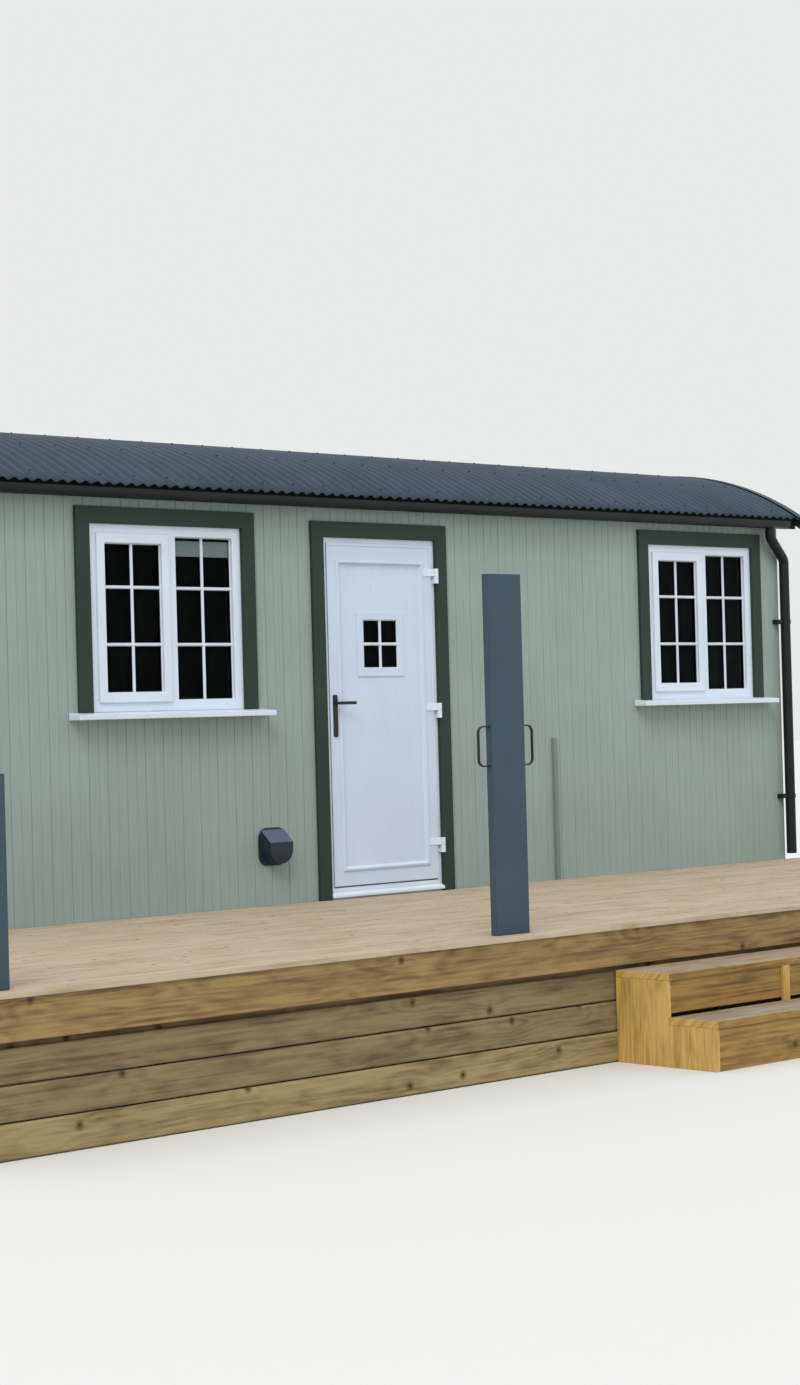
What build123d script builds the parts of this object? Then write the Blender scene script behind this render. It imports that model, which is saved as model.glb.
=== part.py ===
"""Shepherds hut with a barrel roof, a raised front deck, steps and two deck posts.

Units are millimetres. X runs along the front to the right, Y from the front to the back, Z is up.
The pieces are drawn with X and Y zero under the middle of the hut body and Z zero on the ground.
Each finished piece is moved along Y, so that the files have their origin at the bottom centre of
the whole object.
"""
from build123d import *
import math
import os

os.makedirs("parts", exist_ok=True)

# Hut body
body_length = 7500.0
body_width = 2400.0
floor_level = 720.0
floor_thickness = 120.0
wall_thickness = 90.0
cladding_thickness = 20.0
cladding_lap = 130.0
wall_top = 2995.0

# Barrel roof
ceiling_rise = 276.0
eave_seat = 68.0
sheet_depth = 18.0
roof_panel_thickness = 62.0
roof_bedding = 0.6
eave_overhang = 120.0
verge_overhang = 150.0
verge_board_thickness = 40.0
roof_panel_overhang = 30.0
verge_trim_thickness = 4.0
verge_trim_flange = 60.0
fascia_thickness = 20.0
fascia_height = 90.0
fascia_sheet_gap = 6.0

# Gutters and downpipe
gutter_width = 80.0
gutter_depth = 53.0
gutter_wall = 3.0
gutter_sheet_gap = 8.0
pipe_radius = 34.0
pipe_wall = 3.0
pipe_corner_offset = 15.0
pipe_wall_gap = 12.0
outlet_inset = 180.0
outlet_drop = 60.0
outlet_margin = 70.0
outlet_spout = 30.0
outlet_pipe_gap = 8.0
outlet_clearance = 0.3
swan_neck_height = 210.0
swan_neck_bend = 50.0
pipe_deck_gap = 40.0
clip_height = 30.0
clip_thickness = 4.0
clip_lowest = 1100.0
clip_spacing = 1200.0
clip_count = 2

# Windows
window_width = 1060.0
window_height = 1020.0
window_bottom = 1800.0
window_door_gap = 614.0
window_end_gap = 300.0
frame_depth = 70.0
window_frame_face = 58.0
mullion_face = 60.0
fixed_light_width = 405.0
sash_face = 45.0
sash_lip = 8.0
sash_proud = 14.0
sash_depth = 44.0
pane_thickness = 24.0
pane_setback = 26.0
sill_projection = 105.0
sill_thickness = 40.0
sill_horn = 62.0
sill_nose_drop = 10.0
surround_width = 92.0
surround_thickness = 22.0

# Door
door_width = 900.0
door_height = 2070.0
door_frame_face = 32.0
threshold_height = 25.0
door_stop = 15.0
door_stop_depth = 20.0
leaf_gap = 9.0
leaf_thickness = 50.0
leaf_proud = 5.0
panel_width = 660.0
panel_bottom = 857.0
panel_top = 2641.0
panel_recess = 12.0
panel_slope = 24.0
door_light_width = 275.0
door_light_height = 285.0
door_light_level = 2167.0
door_light_face = 48.0
door_light_proud = 10.0
door_cill_projection = 28.0
door_cill_height = 30.0

# Door hinges and handle
hinge_lowest = 955.0
hinge_spacing = 810.0
hinge_count = 3
knuckle_radius = 14.0
knuckle_height = 44.0
knuckle_gap = 1.0
pin_radius = 4.0
pin_clearance = 0.3
hinge_axis_inset = 14.0
hinge_axis_proud = 36.0
hinge_plate_thickness = 4.0
hinge_leaf_plate = 68.0
hinge_jamb_plate = 24.0
hinge_web = 12.0
hinge_arm_half = 6.0
handle_x = -381.0
handle_level = 1748.0
handle_plate_width = 30.0
handle_plate_height = 245.0
handle_plate_thickness = 9.0
handle_plate_corner = 10.0
lever_level = 1822.0
lever_reach = 128.0
lever_standoff = 42.0
lever_bar_height = 18.0
lever_bar_depth = 12.0
spindle_radius = 7.0
spindle_clearance = 0.3

# Wall fittings
vent_centre_x = -886.0
vent_bottom = 907.0
vent_width = 203.0
vent_height = 216.0
vent_depth = 90.0
vent_flange = 8.0
vent_rim = 12.0
vent_hood_width = 168.0
vent_slope_drop = 70.0
vent_corner = 60.0
trunking_x = 1457.0
trunking_width = 30.0
trunking_depth = 22.0
trunking_top = 1572.0

# Undercarriage
rail_spacing = 1400.0
rail_height = 120.0
rail_width = 60.0
rail_thickness = 8.0
rail_inset = 60.0
crossmember_count = 7
crossmember_width = 50.0
wheel_radius = 250.0
wheel_width = 60.0
rim_thickness = 22.0
hub_radius = 55.0
hub_width = 110.0
spoke_count = 10
spoke_width = 26.0
spoke_thickness = 16.0
axle_position = 2600.0
wheel_track = 2040.0
axle_radius = 28.0
axle_bracket_width = 140.0
axle_bracket_thickness = 60.0

# Deck
deck_length = 9500.0
deck_depth = 2660.0
deck_level = 679.0
deck_board_thickness = 28.0
deck_board_count = 18
deck_board_gap = 5.0
deck_wall_gap = 3.0
deck_overhang = 12.0
deck_fascia_height = 175.0
deck_fascia_thickness = 28.0
joist_count = 21
joist_width = 45.0
joist_height = 145.0
bearer_height = 145.0
bearer_width = 70.0
leg_size = 95.0
leg_columns = 6
skirt_recess = 30.0
skirt_thickness = 22.0
skirt_step = 7.0
skirt_course = 144.0
skirt_gap = 6.0
skirt_count = 3
skirt_ground_gap = 4.0

# Steps
steps_left = -914.0
steps_width = 1788.0
upper_going = 310.0
lower_going = 300.0
upper_tread_level = 454.0
lower_tread_level = 241.0
tread_thickness = 36.0
tread_nosing = 10.0
step_panel_thickness = 22.0
step_riser_gap = 18.0
step_batten_width = 50.0
step_batten_thickness = 20.0

# Deck posts
post_width = 220.0
post_depth = 45.0
post_edge_setback = 68.0
tall_post_x = -1580.0
tall_post_height = 1725.0
end_post_height = 870.0
end_post_inset = 56.0
hook_level = 903.0
hook_height = 195.0
hook_reach = 76.0
hook_width = 14.0
hook_thickness = 7.0
hook_bend = 34.0

# Places worked out from the sizes above
front = -body_width / 2
inner_front = front + wall_thickness
body_end = body_length / 2
left_window_centre = -(door_width / 2 + window_door_gap + window_width / 2)
right_window_centre = body_end - window_end_gap - window_width / 2
ceiling_apex = wall_top + eave_seat + ceiling_rise
ceiling_radius = (inner_front ** 2 + ceiling_rise ** 2) / (2 * ceiling_rise)
panel_outer_radius = ceiling_radius + roof_panel_thickness
sheet_inner_radius = panel_outer_radius + roof_bedding
roof_radius = sheet_inner_radius + sheet_depth
roof_centre = ceiling_apex - ceiling_radius
roof_apex = roof_centre + roof_radius
roof_end = body_end + verge_overhang
panel_end = roof_end - verge_board_thickness
eave_y = body_width / 2 + eave_overhang
panel_edge_y = body_width / 2 + roof_panel_overhang
cladding_bottom = floor_level - cladding_lap
floor_bottom = floor_level - floor_thickness
door_top = floor_level + door_height
deck_underside = deck_level - deck_board_thickness
deck_back = front - deck_wall_gap
deck_front = deck_back - deck_depth
deck_end = deck_length / 2
upper_front = deck_front - upper_going
lower_front = upper_front - lower_going
fascia_outer_y = panel_edge_y + fascia_thickness
object_front = lower_front - tread_nosing
object_back = fascia_outer_y + gutter_width
object_mid = (object_front + object_back) / 2


def arc_height(radius, y):
    """Height of a roof arc above the ground at a distance y from the ridge."""
    return roof_centre + math.sqrt(radius ** 2 - y ** 2)


def roof_band(outer_radius, inner_radius, half_span):
    """Section of one bent roof layer, drawn flat, for a plane square to the ridge."""
    with BuildSketch() as band:
        with Locations((0, roof_centre)):
            Circle(outer_radius)
            Circle(inner_radius, mode=Mode.SUBTRACT)
        with Locations((0, roof_centre + outer_radius / 2)):
            Rectangle(2 * half_span, outer_radius, mode=Mode.INTERSECT)
    return band.sketch


def finish(piece, name):
    """Move a finished piece to the object's origin, label it and write it as its own file."""
    placed = piece.part.moved(Location((0, -object_mid, 0)))
    placed.label = name
    export_step(placed, f"parts/{name}.step")


# Floor, an insulated timber panel with its boards
with BuildPart() as floor_panel:
    with BuildSketch(Plane.XY.offset(floor_bottom)):
        Rectangle(body_length - 2 * cladding_thickness, body_width - 2 * cladding_thickness)
    extrude(amount=floor_thickness)
finish(floor_panel, "floor_panel")


def wall_run(side, start, end):
    """A length of long wall on the floor, its boards lapping down the floor's edge."""
    wall_mid = side * (body_width - wall_thickness) / 2
    boards_mid = side * (body_width - cladding_thickness) / 2
    with BuildPart() as run:
        with BuildSketch(Plane.YZ.offset(start)):
            with Locations((wall_mid, (floor_level + wall_top) / 2)):
                Rectangle(wall_thickness, wall_top - floor_level)
            with Locations((boards_mid, (cladding_bottom + wall_top) / 2)):
                Rectangle(cladding_thickness, wall_top - cladding_bottom)
        extrude(amount=end - start)
    return run.part


# Front wall, split at the doorway, with the window openings cut through
door_half = door_width / 2
with BuildPart() as front_wall_left:
    add(wall_run(-1, -body_end, -door_half))
    with BuildSketch(Plane.XZ.offset(-front)):
        with Locations((left_window_centre, window_bottom + window_height / 2)):
            Rectangle(window_width, window_height)
    extrude(amount=-wall_thickness, mode=Mode.SUBTRACT)
finish(front_wall_left, "front_wall_left")

with BuildPart() as front_wall_right:
    add(wall_run(-1, door_half, body_end))
    with BuildSketch(Plane.XZ.offset(-front)):
        with Locations((right_window_centre, window_bottom + window_height / 2)):
            Rectangle(window_width, window_height)
    extrude(amount=-wall_thickness, mode=Mode.SUBTRACT)
finish(front_wall_right, "front_wall_right")

with BuildPart() as front_wall_over_door:
    with BuildSketch(Plane.XY.offset(door_top)):
        with Locations((0, front + wall_thickness / 2)):
            Rectangle(door_width, wall_thickness)
    extrude(amount=wall_top - door_top)
finish(front_wall_over_door, "front_wall_over_door")

with BuildPart() as back_wall:
    add(wall_run(1, -body_end, body_end))
finish(back_wall, "back_wall")

# End walls between the long walls, with arched tops under the ceiling
for side, name in ((-1, "left_end_wall"), (1, "right_end_wall")):
    with BuildPart() as end_wall:
        with BuildSketch(Plane.YZ.offset(side * body_end)):
            with Locations((0, (floor_level + roof_apex) / 2)):
                Rectangle(body_width - 2 * wall_thickness, roof_apex - floor_level)
            with Locations((0, roof_centre)):
                Circle(ceiling_radius - roof_bedding, mode=Mode.INTERSECT)
        extrude(amount=-side * wall_thickness)
        with BuildSketch(Plane.YZ.offset(side * body_end)):
            with Locations((0, (floor_level + cladding_bottom) / 2)):
                Rectangle(body_width - 2 * cladding_thickness, cladding_lap)
        extrude(amount=-side * cladding_thickness)
    finish(end_wall, name)

# Roof: bent insulated panel whose underside is the ceiling, seated flat on the long walls
with BuildPart() as roof_panel:
    with BuildSketch(Plane.YZ):
        add(roof_band(panel_outer_radius, ceiling_radius, panel_edge_y))
        for side in (-1, 1):
            with Locations((side * (panel_edge_y - inner_front) / 2, (wall_top + roof_apex) / 2)):
                Rectangle(panel_edge_y + inner_front, roof_apex - wall_top)
        with Locations((0, roof_centre)):
            Circle(panel_outer_radius, mode=Mode.INTERSECT)
    extrude(amount=panel_end, both=True)
finish(roof_panel, "roof_panel")

# Bent roof sheets, running past the eaves and the ends
with BuildPart() as roof_sheets:
    with BuildSketch(Plane.YZ):
        add(roof_band(roof_radius, sheet_inner_radius, eave_y))
    extrude(amount=roof_end, both=True)
finish(roof_sheets, "roof_sheets")

# Verge trims: a bent board closing each end of the roof, with a flange over the sheets
with BuildPart() as verge_trims:
    for side in (-1, 1):
        outer_face = side * (roof_end + verge_trim_thickness)
        with BuildSketch(Plane.YZ.offset(outer_face)):
            add(roof_band(roof_radius + verge_trim_thickness, ceiling_radius, eave_y))
        extrude(amount=-side * verge_trim_thickness)
        with BuildSketch(Plane.YZ.offset(outer_face)):
            add(roof_band(roof_radius + verge_trim_thickness, roof_radius + roof_bedding, eave_y))
        extrude(amount=-side * verge_trim_flange)
finish(verge_trims, "verge_trims")

# Boards behind the verge trims, bent along the panel's end
with BuildPart() as verge_boards:
    for side in (-1, 1):
        with BuildSketch(Plane.YZ.offset(side * roof_end)):
            add(roof_band(panel_outer_radius, ceiling_radius, panel_edge_y))
        extrude(amount=-side * verge_board_thickness)
finish(verge_boards, "verge_boards")

# Eave fascias along the panel's edges
fascia_top = arc_height(sheet_inner_radius, fascia_outer_y) - fascia_sheet_gap
with BuildPart() as eave_fascias:
    for side in (-1, 1):
        with BuildSketch(Plane.XY.offset(fascia_top)):
            with Locations((0, side * (panel_edge_y + fascia_thickness / 2))):
                Rectangle(2 * roof_end, fascia_thickness)
        extrude(amount=-fascia_height)
finish(eave_fascias, "eave_fascias")

# Gutters: deep half-round channels hung on the fascias. The front one runs into an outlet at its right end.
gutter_top = arc_height(sheet_inner_radius, eave_y) - gutter_sheet_gap
gutter_radius = gutter_width / 2
channel_radius = gutter_radius - gutter_wall
gutter_floor = gutter_top - gutter_depth + gutter_radius
outlet_x = body_end - outlet_inset
outlet_y = -(fascia_outer_y + gutter_radius)
outlet_left = outlet_x - outlet_margin
outlet_top = gutter_top - gutter_depth


def gutter_bar(side, radius, start, end):
    """A bar along one eave with a round bottom and its flat top at the gutter's edge."""
    with BuildPart() as bar:
        with BuildSketch(Plane.YZ.offset(start)):
            with Locations((side * (fascia_outer_y + gutter_radius), gutter_floor)):
                Circle(radius)
            with Locations((side * (fascia_outer_y + gutter_radius), (gutter_floor + gutter_top) / 2)):
                Rectangle(2 * radius, gutter_top - gutter_floor)
            with Locations((side * (fascia_outer_y + gutter_radius), gutter_top + gutter_radius)):
                Rectangle(gutter_width, gutter_width, mode=Mode.SUBTRACT)
        extrude(amount=end - start)
    return bar.part


with BuildPart() as front_gutter:
    add(gutter_bar(-1, gutter_radius, -body_end, outlet_left))
    add(gutter_bar(-1, channel_radius, -body_end + gutter_wall, outlet_left), mode=Mode.SUBTRACT)
finish(front_gutter, "front_gutter")

with BuildPart() as back_gutter:
    add(gutter_bar(1, gutter_radius, -body_end, body_end))
    add(gutter_bar(1, channel_radius, -body_end + gutter_wall, body_end - gutter_wall), mode=Mode.SUBTRACT)
finish(back_gutter, "back_gutter")

# Outlet: a short length of gutter with one stopped end and a spout through its bottom
spout_radius = pipe_radius - pipe_wall - outlet_clearance
with BuildPart() as gutter_outlet:
    add(gutter_bar(-1, gutter_radius, outlet_left, body_end))
    with BuildSketch(Plane.XY.offset(gutter_floor)):
        with Locations((outlet_x, outlet_y)):
            Circle(spout_radius)
    extrude(amount=-gutter_radius - outlet_spout)
    add(gutter_bar(-1, channel_radius, outlet_left, body_end - gutter_wall), mode=Mode.SUBTRACT)
    with BuildSketch(Plane.XY.offset(gutter_floor)):
        with Locations((outlet_x, outlet_y)):
            Circle(spout_radius - pipe_wall)
    extrude(amount=-gutter_radius - outlet_spout, mode=Mode.SUBTRACT)
finish(gutter_outlet, "gutter_outlet")

# Downpipe at the front right corner, pushed over the spout: swan neck and a straight drop to the deck
pipe_x = body_end + pipe_corner_offset
pipe_y = front - pipe_wall_gap - pipe_radius
pipe_points = (
    (outlet_x, outlet_y, outlet_top - outlet_pipe_gap),
    (outlet_x, outlet_y, outlet_top - outlet_drop),
    (pipe_x, pipe_y, outlet_top - swan_neck_height),
    (pipe_x, pipe_y, deck_level + pipe_deck_gap),
)
with BuildPart() as downpipe:
    with BuildLine():
        FilletPolyline(*pipe_points, radius=swan_neck_bend)
    with BuildSketch(Plane.XY.offset(outlet_top - outlet_pipe_gap)):
        with Locations((outlet_x, outlet_y)):
            Circle(pipe_radius)
            Circle(pipe_radius - pipe_wall, mode=Mode.SUBTRACT)
    sweep()
finish(downpipe, "downpipe")

# Pipe clips: a ring round the pipe with a tail to the wall
with BuildPart() as downpipe_clips:
    for number in range(clip_count):
        level = clip_lowest + number * clip_spacing
        with BuildSketch(Plane.XY.offset(level)):
            with Locations((pipe_x, pipe_y)):
                Circle(pipe_radius + clip_thickness)
            with Locations((body_end - pipe_radius, (pipe_y + front) / 2)):
                Rectangle(2 * pipe_radius, front - pipe_y)
            with Locations((pipe_x, pipe_y)):
                Circle(pipe_radius + pin_clearance, mode=Mode.SUBTRACT)
        extrude(amount=clip_height)
finish(downpipe_clips, "downpipe_clips")

# Windows: one fixed light and one casement in each frame
mullion_right = window_width / 2 - window_frame_face - fixed_light_width
mullion_left = mullion_right - mullion_face
sash_light_left = -window_width / 2 + window_frame_face
sash_light_width = mullion_left - sash_light_left
light_height = window_height - 2 * window_frame_face
window_mid = window_bottom + window_height / 2
sash_mid_x = (sash_light_left + mullion_left) / 2
fixed_mid_x = mullion_right + fixed_light_width / 2
for name, centre in (("left", left_window_centre), ("right", right_window_centre)):
    with BuildPart() as window_frame:
        with BuildSketch(Plane.XZ.offset(-front)):
            with Locations((centre, window_mid)):
                Rectangle(window_width, window_height)
            with Locations((centre + sash_mid_x, window_mid)):
                Rectangle(sash_light_width, light_height, mode=Mode.SUBTRACT)
            with Locations((centre + fixed_mid_x, window_mid)):
                Rectangle(fixed_light_width, light_height, mode=Mode.SUBTRACT)
        extrude(amount=-frame_depth)
    finish(window_frame, f"{name}_window_frame")

    with BuildPart() as window_sash:
        with BuildSketch(Plane.XZ.offset(-front)):
            with Locations((centre + sash_mid_x, window_mid)):
                Rectangle(sash_light_width + 2 * sash_lip, light_height + 2 * sash_lip)
        extrude(amount=sash_proud)
        with BuildSketch(Plane.XZ.offset(-front)):
            with Locations((centre + sash_mid_x, window_mid)):
                Rectangle(sash_light_width, light_height)
        extrude(amount=-sash_depth)
        with BuildSketch(Plane.XZ.offset(-front + sash_proud)):
            with Locations((centre + sash_mid_x, window_mid)):
                Rectangle(sash_light_width - 2 * sash_face, light_height - 2 * sash_face)
        extrude(amount=-sash_proud - sash_depth, mode=Mode.SUBTRACT)
    finish(window_sash, f"{name}_window_sash")

    with BuildPart() as window_panes:
        with BuildSketch(Plane.XZ.offset(-front - pane_setback)):
            with Locations((centre + fixed_mid_x, window_mid)):
                Rectangle(fixed_light_width, light_height)
        extrude(amount=-pane_thickness)
        with BuildSketch(Plane.XZ.offset(-front + sash_proud - pane_setback)):
            with Locations((centre + sash_mid_x, window_mid)):
                Rectangle(sash_light_width - 2 * sash_face, light_height - 2 * sash_face)
        extrude(amount=-pane_thickness)
    finish(window_panes, f"{name}_window_panes")

    with BuildPart() as window_surround:
        surround_outer = window_width + 2 * surround_width
        with BuildSketch(Plane.XZ.offset(-front)):
            with Locations((centre, window_mid + surround_width / 2)):
                Rectangle(surround_outer, window_height + surround_width)
            with Locations((centre, window_mid)):
                Rectangle(window_width, window_height, mode=Mode.SUBTRACT)
        extrude(amount=surround_thickness)
    finish(window_surround, f"{name}_window_surround")

    with BuildPart() as window_sill:
        with BuildSketch(Plane.YZ.offset(centre - surround_outer / 2 - sill_horn)):
            with BuildLine():
                Polyline(
                    (front, window_bottom),
                    (front - sill_projection, window_bottom - sill_nose_drop),
                    (front - sill_projection, window_bottom - sill_thickness),
                    (front, window_bottom - sill_thickness),
                    close=True,
                )
            make_face()
        extrude(amount=surround_outer + 2 * sill_horn)
    finish(window_sill, f"{name}_window_sill")

# Door frame with a stop behind the leaf and a low threshold
frame_inner_half = door_half - door_frame_face
opening_bottom = floor_level + threshold_height
opening_top = door_top - door_frame_face
opening_mid = (opening_bottom + opening_top) / 2
with BuildPart() as door_frame:
    with BuildSketch(Plane.XZ.offset(-front)):
        with Locations((0, (floor_level + door_top) / 2)):
            Rectangle(door_width, door_height)
        with Locations((0, opening_mid)):
            Rectangle(2 * frame_inner_half, opening_top - opening_bottom, mode=Mode.SUBTRACT)
    extrude(amount=-frame_depth)
    with BuildSketch(Plane.XZ.offset(-front - frame_depth)):
        with Locations((0, opening_mid)):
            Rectangle(2 * frame_inner_half, opening_top - opening_bottom)
            Rectangle(
                2 * (frame_inner_half - door_stop),
                opening_top - opening_bottom - 2 * door_stop,
                mode=Mode.SUBTRACT,
            )
    extrude(amount=door_stop_depth)
finish(door_frame, "door_frame")

with BuildPart() as door_surround:
    with BuildSketch(Plane.XZ.offset(-front)):
        with Locations((0, (deck_level + door_top + surround_width) / 2)):
            Rectangle(door_width + 2 * surround_width, door_top + surround_width - deck_level)
        with Locations((0, (deck_level + door_top) / 2)):
            Rectangle(door_width, door_top - deck_level, mode=Mode.SUBTRACT)
    extrude(amount=surround_thickness)
finish(door_surround, "door_surround")

# Cill under the door frame, with a board down the floor's edge
with BuildPart() as door_cill:
    with BuildSketch(Plane.YZ.offset(-door_half)):
        with BuildLine():
            Polyline(
                (front + cladding_thickness, floor_level),
                (front, floor_level),
                (front - door_cill_projection, floor_level - door_cill_height / 2),
                (front - door_cill_projection, floor_level - door_cill_height),
                (front, floor_level - door_cill_height),
                (front, cladding_bottom),
                (front + cladding_thickness, cladding_bottom),
                close=True,
            )
        make_face()
    extrude(amount=door_width)
finish(door_cill, "door_cill")

# Door leaf with a moulded recessed panel on both faces and a small light
leaf_front = front - leaf_proud
leaf_back = leaf_front + leaf_thickness
leaf_half = frame_inner_half - leaf_gap
leaf_bottom = opening_bottom + leaf_gap
leaf_top = opening_top - leaf_gap
leaf_mid = (leaf_bottom + leaf_top) / 2
panel_mid = (panel_bottom + panel_top) / 2
panel_height = panel_top - panel_bottom
light_hole_width = door_light_width + door_light_face
light_hole_height = door_light_height + door_light_face
with BuildPart() as door_leaf:
    with BuildSketch(Plane.XZ.offset(-leaf_front)):
        with Locations((0, leaf_mid)):
            Rectangle(2 * leaf_half, leaf_top - leaf_bottom)
    extrude(amount=-leaf_thickness)
    for face_y, inward in ((leaf_front, 1), (leaf_back, -1)):
        with BuildSketch(Plane.XZ.offset(-face_y)):
            with Locations((0, panel_mid)):
                Rectangle(panel_width, panel_height)
        with BuildSketch(Plane.XZ.offset(-face_y - inward * panel_recess)):
            with Locations((0, panel_mid)):
                Rectangle(panel_width - panel_slope, panel_height - panel_slope)
        loft(mode=Mode.SUBTRACT)
    with BuildSketch(Plane.XZ.offset(-leaf_front)):
        with Locations((0, door_light_level)):
            Rectangle(light_hole_width, light_hole_height)
        with Locations((handle_x, lever_level)):
            Circle(spindle_radius + spindle_clearance)
    extrude(amount=-leaf_thickness, mode=Mode.SUBTRACT)
finish(door_leaf, "door_leaf")

# Glazing frame of the door light: a sleeve through the leaf with a raised face each side
light_front = leaf_front + panel_recess
light_back = leaf_back - panel_recess
light_outer_width = door_light_width + 2 * door_light_face
light_outer_height = door_light_height + 2 * door_light_face
with BuildPart() as door_light_frame:
    with BuildSketch(Plane.XZ.offset(-light_front)):
        with Locations((0, door_light_level)):
            Rectangle(light_hole_width, light_hole_height)
    extrude(amount=-(light_back - light_front))
    for face_y, outward in ((light_front, 1), (light_back, -1)):
        with BuildSketch(Plane.XZ.offset(-face_y)):
            with Locations((0, door_light_level)):
                Rectangle(light_outer_width, light_outer_height)
        extrude(amount=outward * door_light_proud)
    with BuildSketch(Plane.XZ.offset(-light_front + door_light_proud)):
        with Locations((0, door_light_level)):
            Rectangle(door_light_width, door_light_height)
    extrude(amount=-(light_back - light_front) - 2 * door_light_proud, mode=Mode.SUBTRACT)
finish(door_light_frame, "door_light_frame")

with BuildPart() as door_light_pane:
    with BuildSketch(Plane.XZ.offset(-(leaf_front + leaf_back) / 2)):
        with Locations((0, door_light_level)):
            Rectangle(door_light_width, door_light_height)
    extrude(amount=pane_thickness / 2, both=True)
finish(door_light_pane, "door_light_pane")

# Flag hinges: the jamb half carries the pin, the leaf half drops over it
hinge_x = door_half - hinge_axis_inset
hinge_y = front - hinge_axis_proud
hinge_levels = [hinge_lowest + number * hinge_spacing for number in range(hinge_count)]
with BuildPart() as hinge_jamb_halves:
    for level in hinge_levels:
        with BuildSketch(Plane.XY.offset(level - knuckle_height)):
            with Locations((hinge_x, hinge_y)):
                Circle(knuckle_radius)
            with Locations((hinge_x, (hinge_y + front) / 2)):
                Rectangle(hinge_web, front - hinge_y)
            with Locations((hinge_x, front - hinge_plate_thickness / 2)):
                Rectangle(hinge_jamb_plate, hinge_plate_thickness)
        extrude(amount=knuckle_height)
        with BuildSketch(Plane.XY.offset(level)):
            with Locations((hinge_x, hinge_y)):
                Circle(pin_radius)
        extrude(amount=knuckle_height - knuckle_radius)
finish(hinge_jamb_halves, "hinge_jamb_halves")

hinge_plate_left = leaf_half - hinge_leaf_plate
with BuildPart() as hinge_leaf_halves:
    for level in hinge_levels:
        with BuildSketch(Plane.XY.offset(level + knuckle_gap)):
            with Locations((hinge_x, hinge_y)):
                Circle(knuckle_radius)
            with Locations(((hinge_plate_left + leaf_half) / 2, leaf_front - hinge_plate_thickness / 2)):
                Rectangle(hinge_leaf_plate, hinge_plate_thickness)
            with BuildLine():
                Polyline(
                    (leaf_half - hinge_web, leaf_front),
                    (leaf_half, leaf_front),
                    (hinge_x + hinge_arm_half, hinge_y + hinge_arm_half),
                    (hinge_x - hinge_arm_half, hinge_y - hinge_arm_half),
                    close=True,
                )
            make_face()
        extrude(amount=knuckle_height)
        with BuildSketch(Plane.XY.offset(level + knuckle_gap)):
            with Locations((hinge_x, hinge_y)):
                Circle(pin_radius + pin_clearance)
        extrude(amount=knuckle_height - knuckle_radius / 2, mode=Mode.SUBTRACT)
finish(hinge_leaf_halves, "hinge_leaf_halves")

# Handle plates on both faces of the leaf
with BuildPart() as handle_plates:
    for face_y, outward in ((leaf_front, 1), (leaf_back, -1)):
        with BuildSketch(Plane.XZ.offset(-face_y)):
            with Locations((handle_x, handle_level)):
                RectangleRounded(handle_plate_width, handle_plate_height, handle_plate_corner)
            with Locations((handle_x, lever_level)):
                Circle(spindle_radius + spindle_clearance, mode=Mode.SUBTRACT)
        extrude(amount=outward * handle_plate_thickness)
finish(handle_plates, "handle_plates")

# Lever handle: spindle through the leaf with a lever on each side
spindle_front = leaf_front - handle_plate_thickness - lever_standoff
spindle_back = leaf_back + handle_plate_thickness + lever_standoff
with BuildPart() as door_lever:
    with BuildSketch(Plane.XZ.offset(-spindle_back)):
        with Locations((handle_x, lever_level)):
            Circle(spindle_radius)
    extrude(amount=spindle_back - spindle_front)
    for end_y, inward in ((spindle_front, -1), (spindle_back, 1)):
        with BuildSketch(Plane.XZ.offset(-end_y)):
            with Locations((handle_x + (lever_reach - lever_bar_height / 2) / 2, lever_level)):
                SlotOverall(lever_reach + lever_bar_height / 2, lever_bar_height)
        extrude(amount=inward * lever_bar_depth)
finish(door_lever, "door_lever")

# Heater vent: a hooded cowl with a sloping top and a rounded bottom, on a flat flange
vent_top = vent_bottom + vent_height
vent_mid_z = vent_bottom + vent_height / 2
with BuildPart() as vent_cowl:
    with BuildSketch(Plane.XZ.offset(-front)):
        with Locations((vent_centre_x, vent_mid_z)):
            RectangleRounded(vent_width, vent_height, vent_corner)
    extrude(amount=vent_flange)
    with BuildSketch(Plane.XZ.offset(-front)):
        with Locations((vent_centre_x, vent_bottom + vent_rim + vent_hood_width / 2)):
            Circle(vent_hood_width / 2)
        with Locations((vent_centre_x, (vent_bottom + vent_top + vent_hood_width / 2) / 2)):
            Rectangle(vent_hood_width, vent_height - 2 * vent_rim - vent_hood_width / 2)
    extrude(amount=vent_depth)
    with BuildSketch(Plane.YZ.offset(vent_centre_x)):
        with BuildLine():
            Polyline(
                (front - vent_flange, vent_top - vent_rim),
                (front - vent_depth, vent_top - vent_rim - vent_slope_drop),
                (front - vent_depth, vent_top),
                (front - vent_flange, vent_top),
                close=True,
            )
        make_face()
    extrude(amount=vent_width, both=True, mode=Mode.SUBTRACT)
finish(vent_cowl, "vent_cowl")

# Trunking that covers a cable on the wall beside the door
with BuildPart() as wall_trunking:
    with BuildSketch(Plane.XY.offset(deck_level)):
        with Locations((trunking_x, front - trunking_depth / 2)):
            Rectangle(trunking_width, trunking_depth)
    extrude(amount=trunking_top - deck_level)
finish(wall_trunking, "wall_trunking")

# Chassis rails: steel channels under the floor, open towards the middle
rail_length = body_length - 2 * rail_inset
rail_bottom = floor_bottom - rail_height
with BuildPart() as chassis_rails:
    for side in (-1, 1):
        with BuildSketch(Plane.YZ.offset(-rail_length / 2)):
            with Locations((side * rail_spacing / 2, floor_bottom - rail_height / 2)):
                Rectangle(rail_width, rail_height)
            with Locations((side * (rail_spacing / 2 - rail_thickness), floor_bottom - rail_height / 2)):
                Rectangle(rail_width, rail_height - 2 * rail_thickness, mode=Mode.SUBTRACT)
        extrude(amount=rail_length)
finish(chassis_rails, "chassis_rails")

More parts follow.
